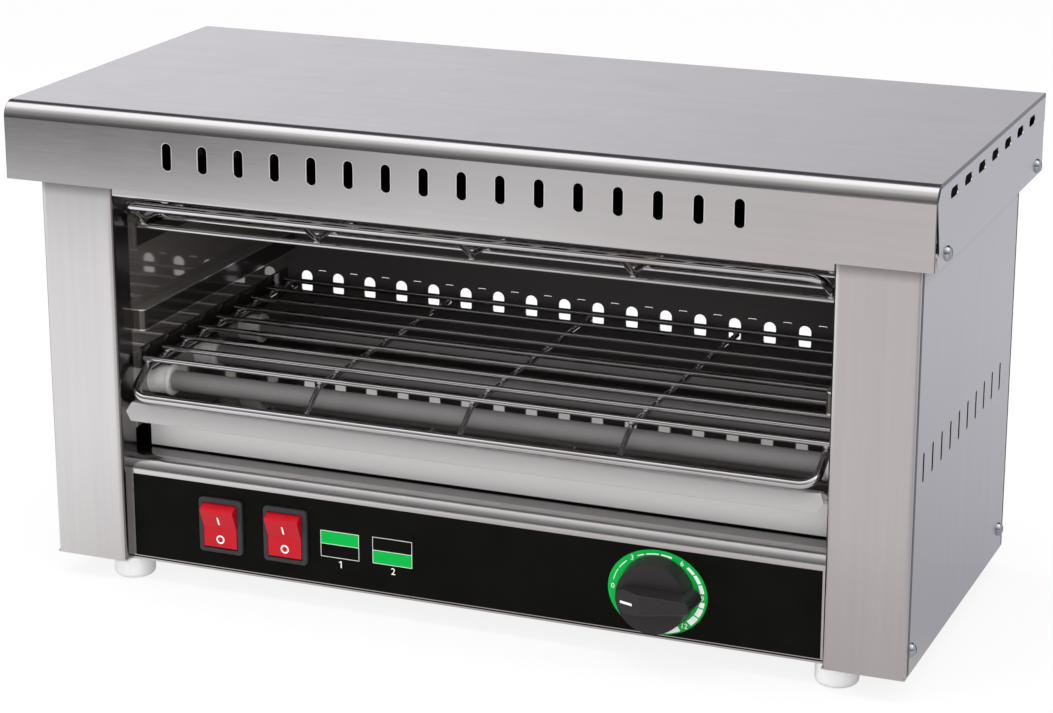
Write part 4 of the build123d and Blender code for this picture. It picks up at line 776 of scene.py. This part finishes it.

# %% [markdown]
# Inside the chamber the sheet is polished and has been heated for a long time. A clean mirror would
# look new, so it is a little less metallic, has gone slightly brown in a cloudy haze, and has small
# burnt spots. The runner channel's two long edges get a painted highlight. The rear panel is the
# same sheet as outside, dulled and darkened with painted shade where it faces the heaters.

# %% Polished chamber sheet
# The rear tone here is painted shade on the rear panel's inner face.
RUNNER_TONE, REAR_SHADE_TONE = (0.10, 0.095, 0.09), (0.068, 0.061, 0.060)
# The edge tone here is a painted highlight on the runner channel's edges.
BURNT, EDGE_HIGHLIGHT_TONE = (0.10, 0.07, 0.05), (0.62, 0.60, 0.58)
REAR_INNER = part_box("rear_panel")[0].y


def chamber_sheet(name, tone, rough, edge=None, metal=0.78):
    """Polished sheet with heat haze and spots; `edge` gives the share of a lighter painted highlight."""
    bench = Bench(name)
    haze = bench.noise(30, 4, 0.6)
    fine = bench.noise(1800, 2, 0.5, GRAIN["Y"])
    spots = bench.ramp(bench.noise(420, 3, 0.6), 0.66, 0.78)
    brown = tuple(c * k for c, k in zip(tone, (0.78, 0.68, 0.58)))
    colour = bench.mix(0.75 * haze, tone, brown)
    colour = bench.mix(0.35 * spots, colour, BURNT)
    if edge:
        colour = bench.mix(edge(bench), colour, EDGE_HIGHLIGHT_TONE)
    return bench.finish(
        Base_Color=colour, Metallic=metal - 0.1 * haze,
        Roughness=rough + 0.03 * haze + 0.02 * fine + 0.2 * spots,
        Normal=bench.bump(haze, 0.03, 0.0004),
    )


def runner_edge_highlight(bench):
    """A painted highlight on the two long edges of the channel on the wall: far from its middle height."""
    low, high = (corner.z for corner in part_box("spare_runners"))
    half = (high - low) / 2
    return bench.ramp(abs(bench.axis("Z") - (low + high) / 2), half - 0.0008, half - 0.0005)


def rear_painted_shade(bench):
    """Painted shade where the rear panel faces the chamber."""
    return 0.97 * bench.ramp(bench.axis("Y"), REAR_INNER + 0.0004, REAR_INNER + 0.0006, 1, 0)


mirror_wall = chamber_sheet("polished_wall", (0.42, 0.40, 0.39), 0.02)
tray_sheet = chamber_sheet("polished_tray", (0.46, 0.445, 0.43), 0.02, metal=0.88)
runner_sheet = chamber_sheet("runner_sheet", RUNNER_TONE, 0.08)
channel_sheet = chamber_sheet("channel_sheet", RUNNER_TONE, 0.08, runner_edge_highlight)
rear_sheet = brushed("rear_sheet", "X", rough=0.22, shade=rear_painted_shade, shade_tone=REAR_SHADE_TONE, dull=0.8)

# %% [markdown]
# The wirework is chromed. Chrome is nearly a mirror, so its look is all reflection and one grey would
# do. But the wires near the heaters have taken a faint straw tint, and the plating has fine pits. The
# same recipe with other tones gives the zinc on the screws and the bare metal of the bus strips.

# %% Chromed wire, drawn edges, zinc and bus metal


def plated(name, tone, rough, tint, mark):
    """Plated metal: cloudy patches go towards `tint` and are rougher, and pits give relief `mark`."""
    bench = Bench(name)
    heat = bench.ramp(bench.noise(22, 3, 0.5), 0.45, 0.75)
    pits = bench.noise(1500, 2, 0.6)
    return bench.finish(
        Base_Color=bench.mix(0.6 * heat, tone, tint), Metallic=1.0,
        Roughness=rough + 0.04 * pits + 0.04 * heat,
        Normal=bench.bump(pits, mark, 0.00005),
    )


chrome_wire = plated("chromed_wire", (0.60, 0.59, 0.61), 0.02, (0.47, 0.42, 0.37), 0.06)
edge_steel = plated("punched_edge", (0.80, 0.78, 0.77), 0.16, (0.70, 0.67, 0.65), 0.05)
zinc = plated("bright_zinc", (0.44, 0.47, 0.51), 0.10, (0.36, 0.38, 0.39), 0.12)
steel_bus = plated("bus_metal", (0.55, 0.53, 0.50), 0.3, (0.42, 0.36, 0.30), 0.1)

# %% [markdown]
# The film is nearly black with a fine leathery grain that breaks up its gloss. Inks lie on it with a
# slightly uneven density. Plastics differ in gloss: the bezels are matt, the rockers shine, the knob
# has a satin skin. All of them are a skin over an even colour, so one recipe serves, with another
# grain, relief and gloss for each.

# %% Film, inks and plastics


def moulded(name, tone, shade, rough, grain, relief, spread=0.12, **constants):
    """A moulded or printed skin: fine grain and wide clouds go from `tone` to `shade`, and the grain
    spreads the roughness and gives the relief. Constants go to the shader as they are."""
    bench = Bench(name)
    skin = bench.noise(grain, 3, 0.6)
    cloud = bench.noise(60, 3, 0.55)
    return bench.finish(
        Base_Color=bench.mix(0.5 * skin + 0.5 * cloud, tone, shade),
        Roughness=rough + spread * skin + 0.05 * cloud,
        Normal=bench.bump(skin, relief, 0.0001),
        **constants,
    )


film_black = moulded("fascia_film", (0.0012, 0.0012, 0.001), (0.007, 0.007, 0.0055), 0.42, 2400, 0.3, 0.2,
                     Specular_IOR_Level=0.04)
ink_green = moulded("green_ink", (0.0015, 0.355, 0.050), (0.0025, 0.42, 0.062), 0.5, 2500, 0.08,
                    Specular_IOR_Level=0.1)
ink_white = moulded("white_ink", (0.78, 0.80, 0.78), (0.90, 0.91, 0.90), 0.5, 2500, 0.08,
                    Specular_IOR_Level=0.1)
bezel_grey = moulded("switch_bezel", (0.026, 0.024, 0.028), (0.040, 0.037, 0.042), 0.5, 3600, 0.2,
                     Specular_IOR_Level=0.25)
rocker_red = moulded("rocker_red", (0.42, 0.003, 0.011), (0.50, 0.006, 0.018), 0.24, 2200, 0.03, 0.05,
                     Specular_IOR_Level=0.22)
knob_black = moulded("knob_black", (0.014, 0.013, 0.014), (0.022, 0.020, 0.021), 0.34, 2800, 0.08,
                     Specular_IOR_Level=0.3)
foot_white = moulded("foot_white", (0.70, 0.71, 0.72), (0.82, 0.82, 0.83), 0.35, 1500, 0.06,
                     Subsurface_Weight=0.3, Subsurface_Radius=(0.004, 0.004, 0.004))
black_moulding = moulded("black_moulding", (0.014, 0.014, 0.014), (0.03, 0.03, 0.03), 0.45, 2600, 0.2)
sleeve = moulded("wire_sleeve", (0.20, 0.035, 0.02), (0.30, 0.06, 0.035), 0.5, 900, 0.1)

# %% [markdown]
# The heaters: milky quartz with a satin skin, chalky ceramic caps with specks and a little soot, and
# resistance wire that has glowed and cooled to a dark scale. Quartz could be see-through glass, but
# the real tubes are frosted and hide their coil, so they take the recipe for a moulded skin.

# %% Quartz, ceramic and heater wire
SOOT = (0.32, 0.28, 0.24)


def chalky(name, tone, speck):
    """Unglazed ceramic: a rough grain darkens the tone a little, with specks and soot in patches."""
    bench = Bench(name)
    grain = bench.noise(1400, 4, 0.65)
    specks = bench.ramp(bench.noise(900, 2, 0.5), 0.66, 0.74)
    soot = bench.ramp(bench.noise(70, 3, 0.5), 0.55, 0.8)
    colour = bench.mix(0.5 * grain, tone, tuple(0.86 * c for c in tone))
    colour = bench.mix(0.5 * specks, colour, speck)
    return bench.finish(
        Base_Color=bench.mix(0.25 * soot, colour, SOOT),
        Roughness=0.62 + 0.2 * grain, Normal=bench.bump(grain, 0.25, 0.00015),
    )


quartz = moulded("milky_quartz", (0.190, 0.180, 0.182), (0.245, 0.233, 0.236), 0.36, 700, 0.05, 0.1)
ceramic = chalky("cap_ceramic", (0.88, 0.875, 0.87), (0.6, 0.57, 0.55))
coil_wire = plated("heater_wire", (0.26, 0.23, 0.21), 0.42, (0.16, 0.12, 0.10), 0.25)

# %% [markdown]
# Each carried-over node gets the finish of its material slot, which is right for most. Sheet pieces
# choose the direction of their grain: along the length on the hood and the control panel, upright on
# posts and sides. The new pieces are listed by name.

# %% Dress the packed nodes and the new pieces
finish_of_slot = {
    "stainless": steel_along, "polished": mirror_wall, "chrome_wire": chrome_wire, "zinc": zinc,
    "overlay_black": film_black, "switch_black": bezel_grey, "rocker_red": rocker_red,
    "knob_black": knob_black, "ceramic_white": ceramic, "quartz": quartz, "foot_plastic": foot_white,
    "winding": coil_wire, "wire_sleeve": sleeve, "moulding": black_moulding,
}
finish_of_node = {
    "hood": hood_sheet, "upper_front_rail": rail_sheet, "base_plate": steel_deep, "rear_panel": rear_sheet,
    "left_front_post": post_sheet, "right_front_post": post_sheet,
    "left_side_panel": side_sheet, "right_side_panel": side_sheet,
    "control_panel": panel_sheet, "tray_front_lip": lip_sheet, "crumb_tray": tray_sheet,
    "rack_runners": runner_sheet, "guard_runners": runner_sheet, "spare_runners": channel_sheet,
    "bus_strips": steel_bus,
}
finish_of_piece = {
    "timer_scale": ink_green, "heater_boxes": ink_green,
    "timer_scale_marks": ink_white, "heater_box_lines": ink_white, "timer_knob_line": ink_white,
    "rocker_1_marks": ink_white, "rocker_2_marks": ink_white,
    "rack_welds": chrome_wire, "guard_welds": chrome_wire, "wound_heater_wire": coil_wire,
    "hood_slot_edges": edge_steel, "tray_lip_hem": steel_along,
    "hood_corner_tabs": hood_sheet, "rear_slit_lips": rear_sheet,
}
for name, obj in nodes.items():
    wear(obj, finish_of_node.get(name, finish_of_slot[slot_of[name]]))
for name, material in finish_of_piece.items():
    wear(bpy.data.objects[name], material)
print("dressed", len(nodes), "nodes and", len(finish_of_piece), "pieces")

# %% [markdown]
# The stage is a pale floor. It shows nearly white to the camera but still takes the toaster's shadow.
# Steel shows what lies around it, and a plain white floor would make it flat. So the floor that steel
# mirrors glows with painted levels of light: lighter to the front left, dim farther out on that side,
# a little dimmer close to the toaster as a painted shadow, and cooler beside it.

# %% Floor
FLOOR_HALF, FLOOR_POINTS, FLOOR_DROP = 8.0, 9, 0.0004
floor_line = np.linspace(-FLOOR_HALF, FLOOR_HALF, FLOOR_POINTS)
floor_x, floor_y = np.meshgrid(floor_line, floor_line)
floor_points = np.stack([floor_x, floor_y, np.full_like(floor_x, -FLOOR_DROP)], -1)
floor_mesh = bpy.data.meshes.new("floor")
floor_quads = grid_quads(FLOOR_POINTS, FLOOR_POINTS)
floor_mesh.from_pydata(floor_points.reshape(-1, 3).tolist(), [], floor_quads.tolist())
floor = bpy.data.objects.new("floor", floor_mesh)
bpy.context.scene.collection.objects.link(floor)
floor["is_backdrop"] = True
print("floor", 2 * FLOOR_HALF, "m wide")

# %% What the floor shows to the camera and to the steel
WHITE, COOL, WARM = (1.0, 1.0, 1.0), (0.96, 0.96, 1.06), (1.04, 0.97, 0.95)
SEEN_SHARE, MIRRORED_SHARE = 0.84, 0.85
paper = Bench("floor_paper")
x, y = paper.axis("X"), paper.axis("Y")
in_front = paper.ramp(y, 0.0, -0.1)
near = paper.ramp(y, -0.98, -0.8)
left = paper.ramp(x, -0.02, -0.36)
far_left = paper.ramp(x, -0.36, -0.68) * paper.ramp(y, -0.84, -0.95)
close = paper.ramp(y, -0.36, -0.20)
beside_level = 0.465 + 0.165 * paper.ramp(y, 0.0, 0.7)
front_level = 0.755 + 0.50 * left * near - 0.82 * far_left - 0.16 * close * (1 - 0.6 * left)
floor_level = in_front * front_level + (1 - in_front) * beside_level
floor_tint = paper.mix(in_front * (1 - left), paper.mix(in_front, COOL, WHITE), WARM)
paper_tone = paper.mix(paper.noise(3, 2), (0.80, 0.80, 0.80), (0.83, 0.83, 0.83))
matt = paper.node("ShaderNodeBsdfDiffuse", {}, {"Color": paper_tone}, out="BSDF")
white_card = paper.node("ShaderNodeEmission", {}, {"Color": WHITE, "Strength": 1.0}, out="Emission")
card_colour = paper.scaled(floor_tint, floor_level)
lit_card = paper.node("ShaderNodeEmission", {}, {"Color": card_colour, "Strength": 1.0}, out="Emission")
seen = SEEN_SHARE * paper.node("ShaderNodeLightPath", out="Is Camera Ray")
mirrored = MIRRORED_SHARE * paper.node("ShaderNodeLightPath", out="Is Glossy Ray")
pale_floor = paper.node("ShaderNodeMixShader", {}, {0: seen, 1: matt, 2: white_card}, out="Shader")
paper.close(paper.node("ShaderNodeMixShader", {}, {0: mirrored, 1: pale_floor, 2: lit_card}, out="Shader"))
wear(floor, paper.material)
print("floor paper", len(paper.tree.nodes), "nodes")

# %% [markdown]
# The room is white to the camera, and the steel mirrors a studio: light low behind the toaster and
# brighter to the left, a long lamp overhead from side to side, a glow from the right, and dark low in
# front. A photographed room could light it, but an image is one more file, and a few smooth steps
# along the three axes give such bands too.

# %% Studio
SKY_BEHIND, SKY_FRONT = (0.985, 0.97, 1.03), (1.0, 0.99, 0.98)
world = bpy.data.worlds.new("studio")
bpy.context.scene.world = world
sky = Bench("studio", world)
direction = sky.node("ShaderNodeTexCoord", out="Generated")
across, deep, height = [sky.node("ShaderNodeSeparateXYZ", {}, {"Vector": direction}, out=k) for k in "XYZ"]
sky_in_front = sky.ramp(deep, 0.20, -0.25)
from_left = sky.ramp(across, -0.10, -0.60)
from_right = 0.42 * sky.ramp(across, 0.30, 0.55) * sky.ramp(height, 0.15, 0.35)
behind = sky.ramp(height, 0.30, 0.42, 1, 0) * (0.58 + 0.32 * from_left)
ahead = 0.06 + 0.26 * sky.ramp(height, 0.02, 0.50) + 0.62 * sky.ramp(height, 0.45, 0.85)
lamp_band = sky.ramp(deep, 0.36, 0.25) * sky.ramp(deep, -0.45, -0.25) * sky.ramp(height, 0.45, 0.65)
overhead = lamp_band * (1.75 - 1.1 * sky_in_front)
sky_level = 0.08 + behind * (1 - sky_in_front) + ahead * sky_in_front + overhead + from_right
sky_tint = sky.mix(sky_in_front, SKY_BEHIND, SKY_FRONT)
camera_ray = sky.node("ShaderNodeLightPath", out="Is Camera Ray")
passed = sky.node("ShaderNodeLightPath", out="Is Transmission Ray")
room = sky.mix(camera_ray.larger(passed), sky.scaled(sky_tint, sky_level), WHITE)
backing = sky.node("ShaderNodeBackground", {}, {"Color": room, "Strength": 1.0}, out="Background")
sky.close(backing, "ShaderNodeOutputWorld")
print("studio", len(sky.tree.nodes), "nodes")

# %% [markdown]
# Four large soft lamps light plastics, inks and ceramics. A lamp that shows in a polished sheet is a
# hard white square, so steel does not mirror them: it mirrors the studio and the floor.

# %% Lamps: place, target, width, height in metres, and watts
LAMPS = {
    "overhead": ((-0.15, -0.25, 1.7), (0, 0, 0.1), 1.5, 1.1, 16.0),
    "front_left": ((-1.3, -1.8, 0.9), (0, -0.1, 0.1), 1.2, 1.2, 14.0),
    "front_right": ((0.7, -2.2, 0.7), (0, -0.1, 0.1), 1.0, 1.0, 16.0),
    "right": ((1.7, 0.3, 1.1), (0.1, 0, 0.1), 1.1, 1.1, 6.0),
}
for name, (where, target, lamp_wide, lamp_tall, watts) in LAMPS.items():
    light = bpy.data.lights.new(name, "AREA")
    light.shape = "RECTANGLE"
    light.size, light.size_y = lamp_wide, lamp_tall
    light.energy = watts
    lamp = bpy.data.objects.new(name, light)
    bpy.context.scene.collection.objects.link(lamp)
    lamp.location = where
    lamp.visible_glossy = False
    lamp.rotation_euler = (Vector(target) - Vector(where)).to_track_quat("-Z", "Y").to_euler()
print("lamps", len(LAMPS))

# %% [markdown]
# The camera stands to the right of the front and looks down on the hood, at a distance and focal
# length worked out from the photograph's converging edges. It has no shift, so that other views of
# the toaster stay centred.

# %% Camera
IMAGE_WIDTH, FOCAL_PIXELS, SENSOR = 1053, 2950.0, 36.0
CAMERA_PLACE = (0.55537, -1.37839, 0.57916)
YAW, PITCH = 0.38513, 0.30011
camera_data = bpy.data.cameras.new("camera")
camera_data.sensor_width = SENSOR
camera_data.lens = SENSOR * FOCAL_PIXELS / IMAGE_WIDTH
camera = bpy.data.objects.new("camera", camera_data)
bpy.context.scene.collection.objects.link(camera)
camera.location = CAMERA_PLACE
camera.rotation_euler = (math.pi / 2 - PITCH, 0, YAW)
bpy.context.scene.camera = camera
bpy.context.scene.view_settings.view_transform = "Standard"
print("lens", round(camera_data.lens, 1), "mm")

# %% Measure the box round what is shown
low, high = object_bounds()
